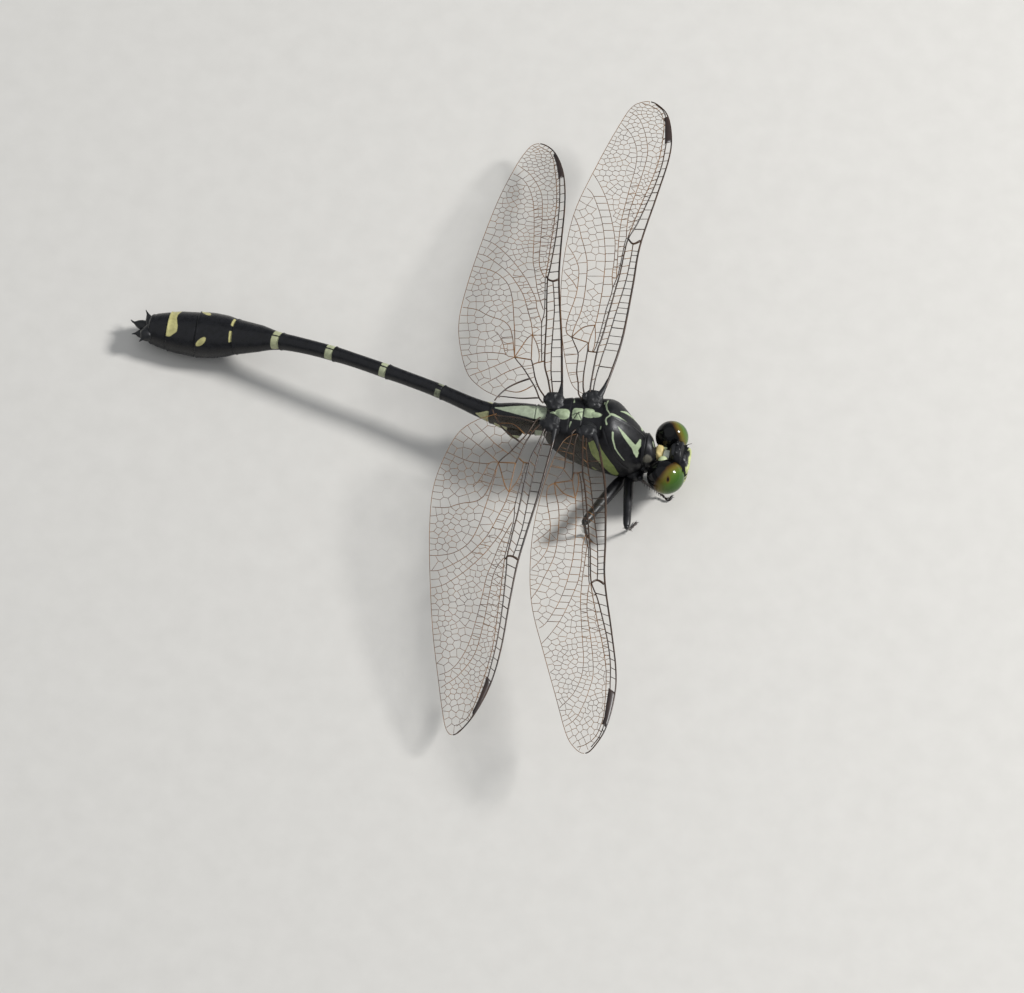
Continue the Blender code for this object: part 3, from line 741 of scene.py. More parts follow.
def makeEyes():
    cornea = eyeMaterial()
    for side, sign in (("left", 1), ("right", -1)):
        low, high = cornersOf(f"eye_{side}")
        middle, half = (low + high) / 2, (high - low) / 2
        half = Vector([size * grow for size, grow in zip(half, eyeSettings["swell"][side])])
        middle += Vector(eyeSettings["aside"][side])
        shell = newShell()
        addBall(shell, middle, half, eyeSettings["turns"], eyeSettings["levels"])
        ahead = Vector((0.84, 0.55 * sign, 0.04)).normalized()   # green looks out and ahead
        units = [Vector([(p[i] - middle[i]) / half[i] for i in range(3)]) for p in shell["points"]]
        fronts = [unit.dot(ahead) - eyeSettings["turn"][side] for unit in units]
        if side == "right":   # the dark slit where the facets look straight out
            pupil = eyeSettings["pupil"]
            towards, along = [Vector(pupil[key]).normalized() for key in ("towards", "along")]
            across = towards.cross(along)
            long, wide = pupil["size"]
            for i, unit in enumerate(units):
                if unit.dot(towards) > 0:
                    away = unit - towards
                    fronts[i] -= pupil["depth"] * math.exp(-(away.dot(along) / long) ** 2
                                                           - (away.dot(across) / wide) ** 2)
        makePiece(f"eye_{side}_globe", shell, cornea, [f"eye_{side}"], {"front": fronts})


def spanRing(x, y, top, bottom, half, sides, power):
    # a closed ring across X between top and bottom, at the same number of points each time
    middle, tall = (top + bottom) / 2, (top - bottom) / 2
    return [Vector((x, y + half * boxed(math.sin(turn), power),
                    middle + tall * boxed(math.cos(turn), power))) for turn in turnsOf(sides)]


def headCentre():
    (leftLow, leftHigh), (rightLow, rightHigh) = cornersOf("eye_left"), cornersOf("eye_right")
    return (leftLow + leftHigh + rightLow + rightHigh) / 4


def addLumps(shell, centre, lumps):
    for offset, halves, turns, levels, power in lumps:
        addBall(shell, centre + Vector(offset), halves, turns, levels, power)


def makeHead():
    centre = headCentre()
    low, high = cornersOf("head")
    columns = [[], [], []]
    for i in range(9):
        x = low.x + 0.02 + (high.x - low.x - 0.04) * i / 8
        middle, half, tall = sliceOf("head", (x, centre.y, centre.z), (1, 0, 0), (0, 1, 0), (0, 0, 1))
        for column, value in zip(columns, (middle.z + tall, middle.z - tall, half)):
            column.append((x, value))
    count = round((high.x - low.x) / headSettings["step"])
    rings = []
    for i in range(count + 1):
        x = low.x + (high.x - low.x) * i / count
        shrink = 1 - 0.45 * fade(0.82, 1.02, i / count) - 0.3 * fade(0.12, 0.0, i / count)
        top, bottom, half = [smoothValue(column, x) for column in columns]
        top -= 0.85 * fade(0.55, -0.15, x - centre.x)   # the back of the head lies low between the eyes
        mid = (top + bottom) / 2
        rings.append(spanRing(x, centre.y, mid + (top - mid) * shrink, mid + (bottom - mid) * shrink,
                              half * shrink, headSettings["sides"], headSettings["power"]))
    shell = newShell()
    joinRings(shell, rings)
    # a pale band crosses each cheek
    reaches = [max(-1.0, min(0.3 - abs(point.z - centre.z + 0.9), 0.35 - abs(point.x - centre.x - 0.75)))
               for point in shell["points"]]
    makePiece("head_shell", shell, headChitin, ["head"],
              {"markReach": reaches, "markTone": [0.0] * len(reaches)})

    # the plate behind the eyes, the neck, the ridge and the eyelets sit on the capsule
    shell = newShell()
    addLumps(shell, centre, headLumps["plate"])
    plate = len(shell["points"])
    addLumps(shell, centre, headLumps["temples"])
    # tone 0 is the plate's hue, partly its own pale colour and partly painted light; the temples take
    # the second hue
    tones = [0.0 if i < plate else 0.8 for i in range(len(shell["points"]))]
    makePiece("occiput", shell, occiputPaleWithPaintedLight, ["head"],
              {"markReach": [1.0] * len(tones), "markTone": tones})
    shell = newShell()
    addLumps(shell, centre, headLumps["neck"])
    wrinkle(shell, [(3.0, 0.07)])
    makePiece("neck_skin", shell, neckSkin, ["head"],
              {"markReach": [1.0] * len(shell["points"]), "markTone": [0.5] * len(shell["points"])})
    shell = newShell()
    addLumps(shell, centre, headLumps["ridge"])
    makePiece("vertex_ridge", shell, blackChitin, ["head"])
    shell = newShell()
    addLumps(shell, centre, headLumps["eyelets"])
    makePiece("ocelli", shell, blackChitin, ["head"])


faceSettings = {"step": 0.04, "sides": 160, "power": 4.6, "wide": 1.04, "aside": -0.33}
# pale marks: (mm from the middle, mm above the eyes' middle, half width, half height, power)
faceMarks = [(1.02, -0.10, 0.36, 0.15, 2.4), (0.0, -0.54, 1.12, 0.10, 3.0),
             (0.56, -0.95, 0.44, 0.22, 2.2), (1.36, -0.82, 0.20, 0.34, 2.2),
             (0.0, -1.62, 1.15, 0.32, 2.4)]
# grooves between the plates: (mm above the eyes' middle, depth in mm)
faceGrooves = [(0.18, 0.10), (-0.42, 0.07), (-0.66, 0.09), (-1.24, 0.08)]


def makeFace():
    centre = headCentre()
    low, high = cornersOf("face")
    rows = []
    for i in range(12):
        z = low.z + 0.03 + (high.z - low.z - 0.06) * i / 11
        spots = cutThrough("face", (centre.x, centre.y, z), (0, 0, 1))
        rows.append((z, spots[:, 0].max(), abs(spots[:, 1] - centre.y).max()))
    count = round((high.z - low.z) / faceSettings["step"])
    rings, reaches = [], []
    back, power = centre.x + 0.25, faceSettings["power"]
    for i in range(count + 1):
        z = low.z + (high.z - low.z) * i / count
        up = z - centre.z
        front = smoothValue([(r[0], r[1]) for r in rows], z)
        front += 0.07 * fade(0.1, 0.3, up)
        half = smoothValue([(r[0], r[2]) for r in rows], z) * faceSettings["wide"]
        half += 0.10 * fade(-0.3, 0.2, up)
        shrink = 1 - 0.30 * fade(0.90, 1.0, i / count) - 0.35 * fade(0.1, 0.0, i / count)
        groove = sum(depth * math.exp(-((up - level) / 0.035) ** 2) for level, depth in faceGrooves)
        bulge = 0.05 * fade(0.25, 0.42, up)
        ring = []
        for turn in turnsOf(faceSettings["sides"]):
            unitX, unitY = boxed(math.cos(turn), power), boxed(math.sin(turn), power)
            outward = max(0.0, unitX)
            x = ((front + back) / 2 + (front - back) / 2 * shrink * unitX - groove * outward
                 + bulge * outward * 0.6)
            y = half * shrink * unitY
            ring.append(Vector((x, centre.y + faceSettings["aside"] + y, z)))
            side = abs(y)
            reach = min(up - 0.20, 0.68 - up, x - front + 0.22)
            for across, level, wide, tall, square in faceMarks:
                size = (abs((side - across) / wide) ** square
                        + abs((up - level) / tall) ** square) ** (1 / square)
                reach = max(reach, (1 - size) * min(wide, tall))
            ragged = noise.noise(Vector((x, y, z)) * 2.2) * 0.05
            reaches.append(max(reach + ragged, -1.0))
        rings.append(ring)
    shell = newShell()
    joinRings(shell, rings)
    reaches += [-1.0, -1.0]
    makePiece("face_shell", shell, headChitin, ["face"],
              {"markReach": reaches, "markTone": [0.25] * len(reaches)})


feelerSettings = {"scape": 0.11, "pedicel": 0.08, "bristle": 0.02, "apart": 0.32, "aside": -0.36}


def makeFeelers():
    for side in ("left", "right"):
        root, tip = sorted(axisOf(f"antenna_{side}"), key=lambda p: p.x)
        out = Vector((0, feelerSettings["apart"] if side == "left" else -feelerSettings["apart"], 0))
        root += out + Vector((-0.06, feelerSettings["aside"], -0.12))
        tip += out * 0.8 + Vector((-0.34, feelerSettings["aside"], -0.42))
        root = root.lerp(tip, -0.15)
        bend = root.lerp(tip, 0.45) + Vector((0, 0, 0.12))
        line = smoothLine([root, root.lerp(bend, 0.6), bend, tip], 0.05)
        radii = []
        for i in range(len(line)):
            t = i / (len(line) - 1)
            radii.append(feelerSettings["scape"] if t < 0.2 else feelerSettings["pedicel"] if t < 0.38
                         else feelerSettings["bristle"] * (1.25 - t) + 0.012)
        shell = newShell()
        addTube(shell, line, radii, 12)
        makePiece(f"antenna_{side}_bristle", shell, blackChitin, [f"antenna_{side}"])


# stops are mm ahead of the solid's rear; towards the neck the collar narrows by a share, and leans
# to the right and sinks by mm
collarSettings = {"stops": (-0.35, 0.1, 0.3, 0.5, 0.7, 0.86, 0.97), "steps": 60, "sides": 96,
                  "narrow": 0.34, "aside": 0.16, "lean": 0.32, "sink": 0.08}


def makeProthorax():
    low, high = cornersOf("prothorax")
    stops = [low.x + ahead for ahead in collarSettings["stops"]]
    columns = [[], [], [], []]
    for x in stops:
        at = min(max(x, low.x + 0.06), high.x - 0.1)
        middle, half, tall = sliceOf("prothorax", (at, low.y, low.z), (1, 0, 0), (0, 1, 0), (0, 0, 1))
        for column, value in zip(columns, (middle.y, middle.z + tall, middle.z - tall, half)):
            column.append((x, value))
    rings, reaches, tones = [], [], []
    count = collarSettings["steps"]
    for i in range(count + 1):
        x = stops[0] + (stops[-1] - stops[0]) * i / count
        y, top, bottom, half = [smoothValue(column, x) for column in columns]
        along = x - low.x
        near = fade(0.0, 0.95, along)
        taper = 1 - collarSettings["narrow"] * near
        y -= collarSettings["aside"] + collarSettings["lean"] * near
        tall = (top - bottom) / 2 * (0.35 + 0.65 * taper)
        mid = (top + bottom) / 2 - collarSettings["sink"] * near
        top, bottom, half = mid + tall, mid - tall, half * taper
        lobes = (0.03 * math.exp(-((along - 0.05) / 0.13) ** 2)
                 - 0.04 * math.exp(-((along + 0.06) / 0.05) ** 2)
                 + 0.03 * math.exp(-((along - 0.5) / 0.2) ** 2) - 0.10 * fade(0.86, 0.97, along))
        ring = spanRing(x, y, top + lobes, bottom - lobes, half + lobes, collarSettings["sides"], 2.0)
        for point in ring:
            degrees = math.degrees(math.atan2((point.y - y) / half,
                                              (point.z - (top + bottom) / 2) / ((top - bottom) / 2)))
            beside = abs(degrees) - 60
            flank = (1 - math.hypot((along - 0.24) / 0.36 + beside / 60, beside / 18)) * 0.16
            crown = (1 - math.hypot((along - 0.55) / 0.11, (degrees - 22) / 12)) * 0.12
            reaches.append(max(flank, crown))
            tones.append(1.0 if crown > flank else 0.0)
        rings.append(ring)
    makeMarked("prothorax_shell", rings, collarChitin, ["prothorax"], reaches, tones)
    shell = newShell()
    midline = (low.y + high.y) / 2
    for side in (1, -1):   # side plates above the front legs
        addBall(shell, (low.x - 0.04, midline + side * 1.10, low.z + 0.28), (0.52, 0.5, 0.55), 32, 20)
        addBall(shell, (low.x - 0.74, midline + side * 1.65, low.z - 0.12), (0.66, 0.6, 0.6), 32, 20)
    wrinkle(shell, [(2.0, 0.08)])
    makePiece("propleura", shell, roughChitin, ["prothorax"])


makeEyes()
makeHead()
makeFace()
makeFeelers()
makeProthorax()
print("head made")


# radii in mm along each length; scale, thick and shift (mm ahead at the hip) differ by pair
legSettings = {"femur": [(0, 0.26), (0.12, 0.38), (0.35, 0.40), (0.75, 0.33), (0.94, 0.29), (1, 0.2)],
               "tibia": [(0, 0.15), (0.08, 0.17), (0.3, 0.12), (0.9, 0.10), (1, 0.12)],
               "tarsus": [(0, 0.08), (0.18, 0.115), (0.24, 0.075), (0.45, 0.115), (0.5, 0.075),
                          (0.9, 0.12), (1, 0.10)],
               "spine": 0.38, "spacing": 0.34, "scale": {"fore": 0.85}, "thick": {"hind": 1.22},
               "shift": {"middle": -0.25}, "kink": {"leg_fore_right": (0.0, -0.38, 0.0)}}


def addSpines(shell, line, rows, length, start, stop):
    # rows of bristles along a limb, each row at its own turn round it
    total = sum((b - a).length for a, b in zip(line, line[1:]))
    for row, turn in enumerate(rows):
        at = start * total + (row % 2) * legSettings["spacing"] / 2
        while at < stop * total:
            left = at
            for a, b in zip(line, line[1:]):
                if left <= (b - a).length:
                    break
                left -= (b - a).length
            ahead = (b - a).normalized()
            sideways, upward = levelFrame(ahead)
            out = sideways * math.cos(turn) + upward * math.sin(turn)
            root = a + ahead * left + out * 0.06
            size = length * (1.15 - 0.5 * at / total)
            tip = root + out * size * 0.85 + ahead * size * 0.5
            tip.z = max(tip.z, 0.03)
            addTube(shell, [root, root.lerp(tip, 0.55), tip], [0.032, 0.020, 0.006], 5)
            at += legSettings["spacing"] * size / length


def makeLeg(place, side):
    name = f"leg_{place}_{side}"
    scale = legSettings["scale"].get(place, 1.0)
    belly = [Vector((s[0], s[1], s[3] + 0.6)) for s in thoraxStations]
    coxa, knee = sorted(axisOf(f"{name}_femur"), key=lambda p: min((p - q).length for q in belly))
    lower = sorted(axisOf(f"{name}_tibia"), key=lambda p: (p - knee).length)
    foot = sorted(axisOf(f"{name}_tarsus"), key=lambda p: (p - lower[1]).length)
    ankle = (lower[1] + foot[0]) / 2
    knee = knee.lerp(lower[0], 0.4)
    toe = foot[1]
    coxa.x += legSettings["shift"].get(place, 0.0)
    femur = smoothLine([coxa, coxa.lerp(knee, 0.5) + Vector((0, 0, 0.06)), knee], 0.12)
    shell = newShell()
    thick = legSettings["thick"].get(place, 1.0)
    addTube(shell, femur, radiiAlong(legSettings["femur"], femur, scale * thick), 20)
    addBall(shell, coxa, (0.42 * scale, 0.42 * scale, 0.40 * scale), 20, 12)
    addBall(shell, knee, (0.19 * scale,) * 3, 18, 10)
    addSpines(shell, femur, (-2.2, -0.9), 0.2, 0.3, 0.95)
    makePiece(f"{name}_thigh", shell, blackChitin, [f"{name}_femur"])
    shin = smoothLine([knee, knee.lerp(ankle, 0.5) + Vector((0, 0, 0.03)), ankle], 0.1)
    shell = newShell()
    addTube(shell, shin, radiiAlong(legSettings["tibia"], shin, scale), 14)
    addSpines(shell, shin, (-0.4, -2.74), legSettings["spine"] * scale, 0.12, 0.95)
    makePiece(f"{name}_shin", shell, blackChitin if place == "hind" else brownChitin,
              [f"{name}_tibia"])
    kink = Vector(legSettings["kink"].get(name, (0, 0, 0)))
    toeLine = smoothLine([ankle, ankle.lerp(toe, 0.3) + Vector((0, 0, -0.03)) + kink * 0.5,
                          ankle.lerp(toe, 0.75) + Vector((0, 0, -0.04)) + kink, toe], 0.05)
    for point in toeLine:
        point.z = max(point.z, 0.13)
    shell = newShell()
    addTube(shell, toeLine, radiiAlong(legSettings["tarsus"], toeLine, 0.95), 12)
    makePiece(f"{name}_foot", shell, brownChitin, [f"{name}_tarsus"])
    ahead = toe - ankle
    ahead.z = 0
    ahead.normalize()
    sideways = Vector((-ahead.y, ahead.x, 0))
    shell = newShell()
    for sign in (1, -1):   # two claws, down to the floor
        root = toeLine[-1] - ahead * 0.1
        line = smoothLine([root, root + ahead * 0.14 + sideways * 0.06 * sign + Vector((0, 0, 0.04)),
                           root + ahead * 0.24 + sideways * 0.11 * sign - Vector((0, 0, 0.02)),
                           root + ahead * 0.27 + sideways * 0.12 * sign - Vector((0, 0, 0.10))], 0.04)
        for point in line:
            point.z = max(point.z, 0.02)
        addTube(shell, line, [0.045 - 0.037 * i / (len(line) - 1) for i in range(len(line))], 6)
    makePiece(f"{name}_claws", shell, blackChitin, [f"{name}_tarsus"])


for legPlace in ("fore", "middle", "hind"):
    for legSide in ("left", "right"):
        makeLeg(legPlace, legSide)
print("legs made")


def membraneMaterial():
    # glass-thin wing film, dried flat: nearly clear with a faint smoky cast and a soft shine
    material, tree, shader = newMaterial("wing film, dried clear", {
        "Roughness": 0.20, "IOR": 1.55, "Alpha": 0.055,
        "Thin Film Thickness": 420.0, "Thin Film IOR": 1.45})
    ripple = addNode(tree, "ShaderNodeTexNoise", {"Scale": 2.2, "Detail": 2.0},
                     {"Vector": millimetres(tree)})
    tree.links.new(ramp(tree, ripple.outputs["Fac"], [(0.35, "#6e6450"), (0.65, "#8f8670")]),
                   shader.inputs["Base Color"])
    bump = addNode(tree, "ShaderNodeBump", {"Strength": 0.3, "Distance": 0.02 * mm},
                   {"Height": ripple.outputs["Fac"]})
    tree.links.new(bump.outputs["Normal"], shader.inputs["Normal"])
    return material


def veinMaterial(name, dark, warm):
    # hollow vein, tanned brown: lightens and darkens along its length, satin shine
    material, tree, shader = newMaterial(name, {"Roughness": 0.38, "IOR": 1.55})
    mottle = addNode(tree, "ShaderNodeTexNoise", {"Scale": 0.8, "Detail": 5.0},
                     {"Vector": millimetres(tree)})
    tree.links.new(ramp(tree, mottle.outputs["Fac"], [(0.35, dark), (0.65, warm)]),
                   shader.inputs["Base Color"])
    return material


wingFilm = membraneMaterial()
darkVein = veinMaterial("wing vein, tanned near-black", "#20140c", "#432a12")
brownVein = veinMaterial("wing vein, tanned brown", "#523311", "#855a22")
stigmaChitin = veinMaterial("wing cell, thick and dark", "#1f1512", "#33211a")

# sweep and rise are degrees at the hinge, droop bends the wing by mm per mm squared, warp
# shifts its marks in mm towards the tip, and seed draws its cells
wingSettings = {
    "forewing_left": {"sweep": 1.8, "rise": 5.5, "droop": 0.0038, "warp": 1.2, "seed": 11},
    "forewing_right": {"sweep": 8.4, "rise": 5.5, "droop": 0.0038, "warp": -1.2, "seed": 12},
    "hindwing_left": {"sweep": -6.5, "rise": -6.4, "droop": 0.0017, "warp": 1.1, "seed": 13},
    "hindwing_right": {"sweep": -3.8, "rise": -6.4, "droop": 0.0017, "warp": -1.1, "seed": 14},
}
filmSettings = {"along": 130, "across": 26, "gather": 1.25}
# cell walls: squares of step mm, rounds of pushing apart, the share of a field that cells fill, the
# shortest wall, how far a wall runs into the next, and its radius, in mm
cellSettings = {"step": 0.06, "rounds": 8, "filled": 0.87, "shortest": 0.07, "overlap": 0.035,
                "radius": 0.021}
# the dark cell near the tip: mm along the wing, its slant, its gap to the veins and its thickness
stigmaSettings = {"fore": (24.25, 27.05), "hind": (22.6, 25.5), "slant": 0.35, "behind": 0.10,
                  "ahead": 0.03, "swell": 0.055, "least": 0.012, "steps": 30}
# knobs: (mm along the wing, mm forward, half sizes in mm); the spike is where the front vein starts
hingeSettings = {
    "knobs": [(0.02, -0.30, 0.70, 0.80, 0.50), (0.24, 0.05, 0.44, 0.40, 0.38),
              (-0.50, -0.20, 0.50, 0.66, 0.32), (0.02, -0.85, 0.42, 0.38, 0.36),
              (0.40, -0.42, 0.32, 0.32, 0.28)],
    "sink": -0.16, "power": 2.4, "folds": [(2.6, 0.13), (7.0, 0.035)],
    "spike": {"fore": (0.12, 0.62), "hind": (0.10, 0.26)},
    "spikeRadii": [(0, 0.36), (0.35, 0.27), (0.7, 0.15), (1, 0.08)],
}
# vein lines as (mm from the hinge along the wing, mm forward of the hinge line)
foreVeins = {
    "front": [(0, 0.3), (2.2, 0.7), (5.5, 1.08), (10.3, 1.08), (14.1, 1.0), (18.8, 1.5), (22.5, 1.85),
        (24.8, 1.72), (27.2, 1.05), (28.5, 0.1), (28.9, -0.65)],
    "back": [(0, -0.7), (0.9, -2.2), (4, -3.45), (8, -4.4), (12.1, -4.85), (16.5, -4.75), (21, -3.8),
        (25, -2.8), (27.5, -2.1), (28.5, -1.45), (28.9, -0.65)],
    "subcosta": [(-0.2, -0.30), (0.9, -0.42), (2, -0.40), (2.8, -0.33), (4, -0.22), (5, -0.08),
        (6.5, 0.05), (8, 0.18), (9, 0.28), (10, 0.38), (11, 0.45), (12, 0.46), (13, 0.46),
        (14.2, 0.42)],
    "radius": [(-0.2, -0.50), (0.9, -0.68), (4, -0.70), (5, -0.58), (6, -0.48), (7, -0.42), (8, -0.35),
        (9, -0.28), (10, -0.22), (11, -0.15), (12, -0.12), (13, -0.12), (14.5, -0.05), (16, 0.42),
        (18, 0.85), (20, 1.22), (22, 1.42), (23.7, 1.40), (24.5, 1.35), (26.6, 1.02), (27.8, 0.55),
        (28.5, -0.1)],
    "nodus": [(14.6, 0.95), (14.3, 0.6), (14.25, 0.3), (14.6, -0.1)],
    "radialFirst": [(14.6, -0.1), (15.5, 0.02), (17, 0.25), (18.5, 0.5), (20, 0.78), (22, 1.05),
        (23.5, 1.08), (25, 1.0), (26.5, 0.82), (27.7, 0.3), (28.3, -0.5), (28.5, -1.2)],
    "radialStem": [(4.0, -1.0), (4.5, -0.88), (5.5, -0.78), (7, -0.70), (8, -0.65), (9.3, -0.5),
        (9.9, -0.48), (10.5, -0.38), (11, -0.3), (12, -0.25), (14, -0.25), (14.6, -0.2)],
    "radialSecond": [(14.6, -0.2), (15.5, -0.33), (17, -0.4), (18.5, -0.25), (20, -0.08), (21.5, 0.05),
        (23, 0.05), (24.2, -0.25), (25.3, -0.65), (26.5, -1.3), (27.2, -2.3)],
    "betweenRadials": [(10.9, -0.35), (12, -0.5), (13, -0.62), (14, -0.75), (16, -0.9), (18, -0.85),
        (20, -0.75), (21.5, -0.68), (23, -0.85), (24.5, -1.5), (25.8, -2.7)],
    "radialThird": [(9.9, -0.48), (11, -0.72), (12.5, -0.82), (14, -1.02), (15, -1.3), (16.5, -1.85),
        (18, -2.5), (19.3, -3.3), (20.3, -4.1)],
    "medianFront": [(4.0, -1.1), (4.6, -1.02), (5.5, -1.1), (6.4, -1.28), (7, -1.25), (9, -1.25),
        (10, -1.3), (11, -1.38), (12, -1.48), (13, -1.65), (14, -1.88), (15, -2.15), (16, -2.5),
        (17, -2.95), (18.3, -3.7), (18.9, -4.5)],
    "arculus": [(3.95, -0.7), (4.0, -1.0), (4.0, -1.48)],
    "medianBase": [(-0.3, -0.8), (0.3, -1.1), (1, -1.3), (2, -1.42), (3, -1.45), (4, -1.48),
        (4.75, -1.55)],
    "overTriangle": [(4.05, -1.4), (4.9, -1.5), (6.42, -1.3)],
    "triangleBase": [(4.75, -1.55), (5.0, -2.95)],
    "triangleOuter": [(6.42, -1.3), (6.0, -2.2), (5.0, -2.95)],
    "medianRear": [(5.0, -2.95), (6, -2.86), (7, -2.67), (8, -2.59), (9, -2.61), (10, -2.68),
        (11, -2.78), (12, -2.97), (13, -3.33), (14, -3.78), (15, -4.2), (16, -4.8)],
    "cubitus": [(5.0, -2.95), (5.3, -3.4), (6, -3.57), (7, -3.52), (8, -3.37), (9, -3.28), (10, -3.33),
        (11, -3.45), (11.7, -3.7), (12.5, -4.2), (13.3, -4.9)],
    "cubitusBranch": [(9.4, -3.3), (9.9, -3.7), (10.9, -4.8)],
    "anal": [(-0.3, -1.1), (0.1, -1.5), (1, -1.7), (2, -2.0), (3, -2.1), (3.7, -2.2), (4.5, -2.65),
        (5, -2.95)],
    "analCross": [(3.7, -2.2), (4.75, -1.55)],
}
hindVeins = {
    "front": [(0, 0.3), (3, 0.2), (6.4, 0.05), (11.8, -0.32), (15.4, -0.28), (19.9, -0.1), (23, -0.3),
        (25.3, -0.95), (26.6, -1.75), (27, -2.4)],
    "back": [(0, -4.7), (0.9, -6.2), (2.4, -7.4), (5.2, -8.1), (7.8, -8.25), (11.2, -7.75),
        (15.4, -6.8), (19.9, -5.6), (23.7, -4.3), (25.7, -3.5), (26.7, -2.95), (27, -2.4)],
    "subcosta": [(-0.2, -0.4), (1, -0.5), (2, -0.6), (3, -0.68), (5, -0.7), (7, -0.65), (9, -0.6),
        (10, -0.65), (11, -0.72), (11.9, -0.82)],
    "radius": [(-0.2, -0.5), (1, -0.72), (2, -0.9), (3, -1.15), (4, -1.22), (6, -1.22), (8, -1.2),
        (10, -1.25), (12, -1.25), (13, -1.1), (14, -0.98), (16, -0.75), (18, -0.6), (20, -0.53),
        (22, -0.58), (23.2, -0.65), (24.5, -0.85), (25.5, -1.1), (26.2, -1.4), (26.8, -2.0)],
    "nodus": [(12.1, -0.35), (11.9, -0.8), (12.0, -1.2), (12.3, -1.35)],
    "radialFirst": [(12.2, -1.42), (13, -1.35), (14, -1.25), (16, -1.08), (18, -0.9), (20, -0.78),
        (22, -0.86), (24, -1.08), (25, -1.25), (25.8, -1.55), (26.4, -2.2)],
    "radialStem": [(3.75, -1.45), (5, -1.5), (6, -1.55), (7.6, -1.58), (8.3, -1.45), (9, -1.4),
        (10, -1.4), (12.2, -1.45)],
    "radialThird": [(7.7, -1.6), (9, -2.0), (10, -2.15), (10.9, -2.5), (12, -3.0), (13, -3.6),
        (14, -4.3), (15, -5.2), (15.6, -5.9), (16, -6.8)],
    "betweenRadials": [(9.0, -1.5), (10, -1.8), (11, -2.05), (12, -2.2), (13, -2.35), (14, -2.5),
        (16, -2.5), (18, -2.55), (20, -2.7), (21.5, -3.1), (22.5, -3.7), (23.1, -4.6)],
    "radialSecond": [(12.2, -1.5), (13, -1.85), (14, -2.0), (16, -1.95), (18, -1.9), (20, -1.95),
        (21, -2.1), (22, -2.5), (23, -3.1), (23.8, -3.9), (24.2, -4.3)],
    "medianFront": [(3.65, -1.7), (4.5, -1.68), (5.5, -1.9), (6.4, -2.25), (7.5, -2.4), (8.5, -2.65),
        (9.5, -2.9), (10.5, -3.2), (11.5, -3.7), (12.3, -4.2), (13, -4.8), (13.8, -5.7), (14.3, -6.4),
        (14.5, -7.2)],
    "arculus": [(3.75, -1.22), (3.65, -1.75), (3.4, -2.18)],
    "medianBase": [(-0.3, -0.9), (0.3, -1.15), (1, -1.55), (2, -1.9), (3.3, -2.15), (3.9, -2.3)],
    "triangleTop": [(3.9, -2.3), (6.45, -2.3)],
    "triangleBase": [(3.9, -2.3), (4.1, -3.65)],
    "triangleOuter": [(6.45, -2.3), (6, -2.7), (5, -3.2), (4.1, -3.65)],
    "medianRear": [(4.1, -3.65), (6, -3.7), (8, -3.85), (10, -4.05), (11.5, -4.5), (12.5, -5.4),
        (13, -6.5), (13.2, -7.5)],
    "cubitus": [(4.1, -3.65), (5, -3.75), (6, -3.87), (7, -4.1), (7.6, -4.5), (7.9, -5), (8.1, -5.6),
        (8.4, -6.2), (8.8, -6.9), (9.0, -8.2)],
    "cubitusBranch": [(4.1, -3.65), (4.2, -4.2), (4.6, -4.45), (5.3, -4.6), (6.1, -4.9), (6.6, -5.2)],
    "anal": [(-0.4, -1.2), (0, -1.5), (1, -1.85), (2, -2.35), (3, -2.9), (3.7, -3.4), (4.1, -3.65)],
    "baseDark": [(2.0, -2.35), (1.6, -3.2), (1, -4.1), (0.2, -4.8), (-0.3, -5.1)],
    "baseEdge": [(0.1, -1.6), (0, -3), (0.1, -4.2), (0.15, -4.8)],
    "baseMiddle": [(1.3, -2.1), (0.8, -2.8), (0.6, -3.4), (0.75, -4.3)],
    "analSecond": [(3.2, -3.05), (2.6, -4.2), (2.1, -4.9), (1.4, -5.9), (0.7, -6.9)],
    "analThird": [(4.1, -3.65), (3.5, -4.6), (3.1, -5.3), (2.6, -6.2), (2.2, -7.0), (1.7, -7.6)],
    "analFourth": [(4.3, -4.3), (4.4, -4.5), (4.5, -5.6), (4.4, -6.5), (4, -8.1)],
}
# radius in mm at the start and end of each main vein; the rest are fine
veinRadii = {
    "front": (0.105, 0.05), "back": (0.026, 0.026), "radius": (0.075, 0.04), "subcosta": (0.055, 0.045),
    "nodus": (0.10, 0.07), "radialStem": (0.045, 0.04), "radialFirst": (0.04, 0.028),
    "medianBase": (0.07, 0.05), "anal": (0.065, 0.045), "arculus": (0.055, 0.05),
    "triangleBase": (0.05, 0.05), "triangleOuter": (0.045, 0.045), "triangleTop": (0.045, 0.045),
    "overTriangle": (0.04, 0.04), "medianFront": (0.04, 0.024), "medianRear": (0.04, 0.026),
    "cubitus": (0.04, 0.026), "baseDark": (0.08, 0.05), "baseEdge": (0.07, 0.04),
    "baseMiddle": (0.05, 0.03),
}
fineVein = (0.034, 0.024)
# radius of crossveins by the vein they start from; two near the front are thick
crossRadii = {"front": 0.031, "subcosta": 0.031, "others": 0.026, "thick": 0.045}
thickCrosses = (0, 4)
darkVeins = {"front", "subcosta", "radius", "nodus", "medianBase", "anal", "baseDark", "baseEdge",
             "radialStem"}
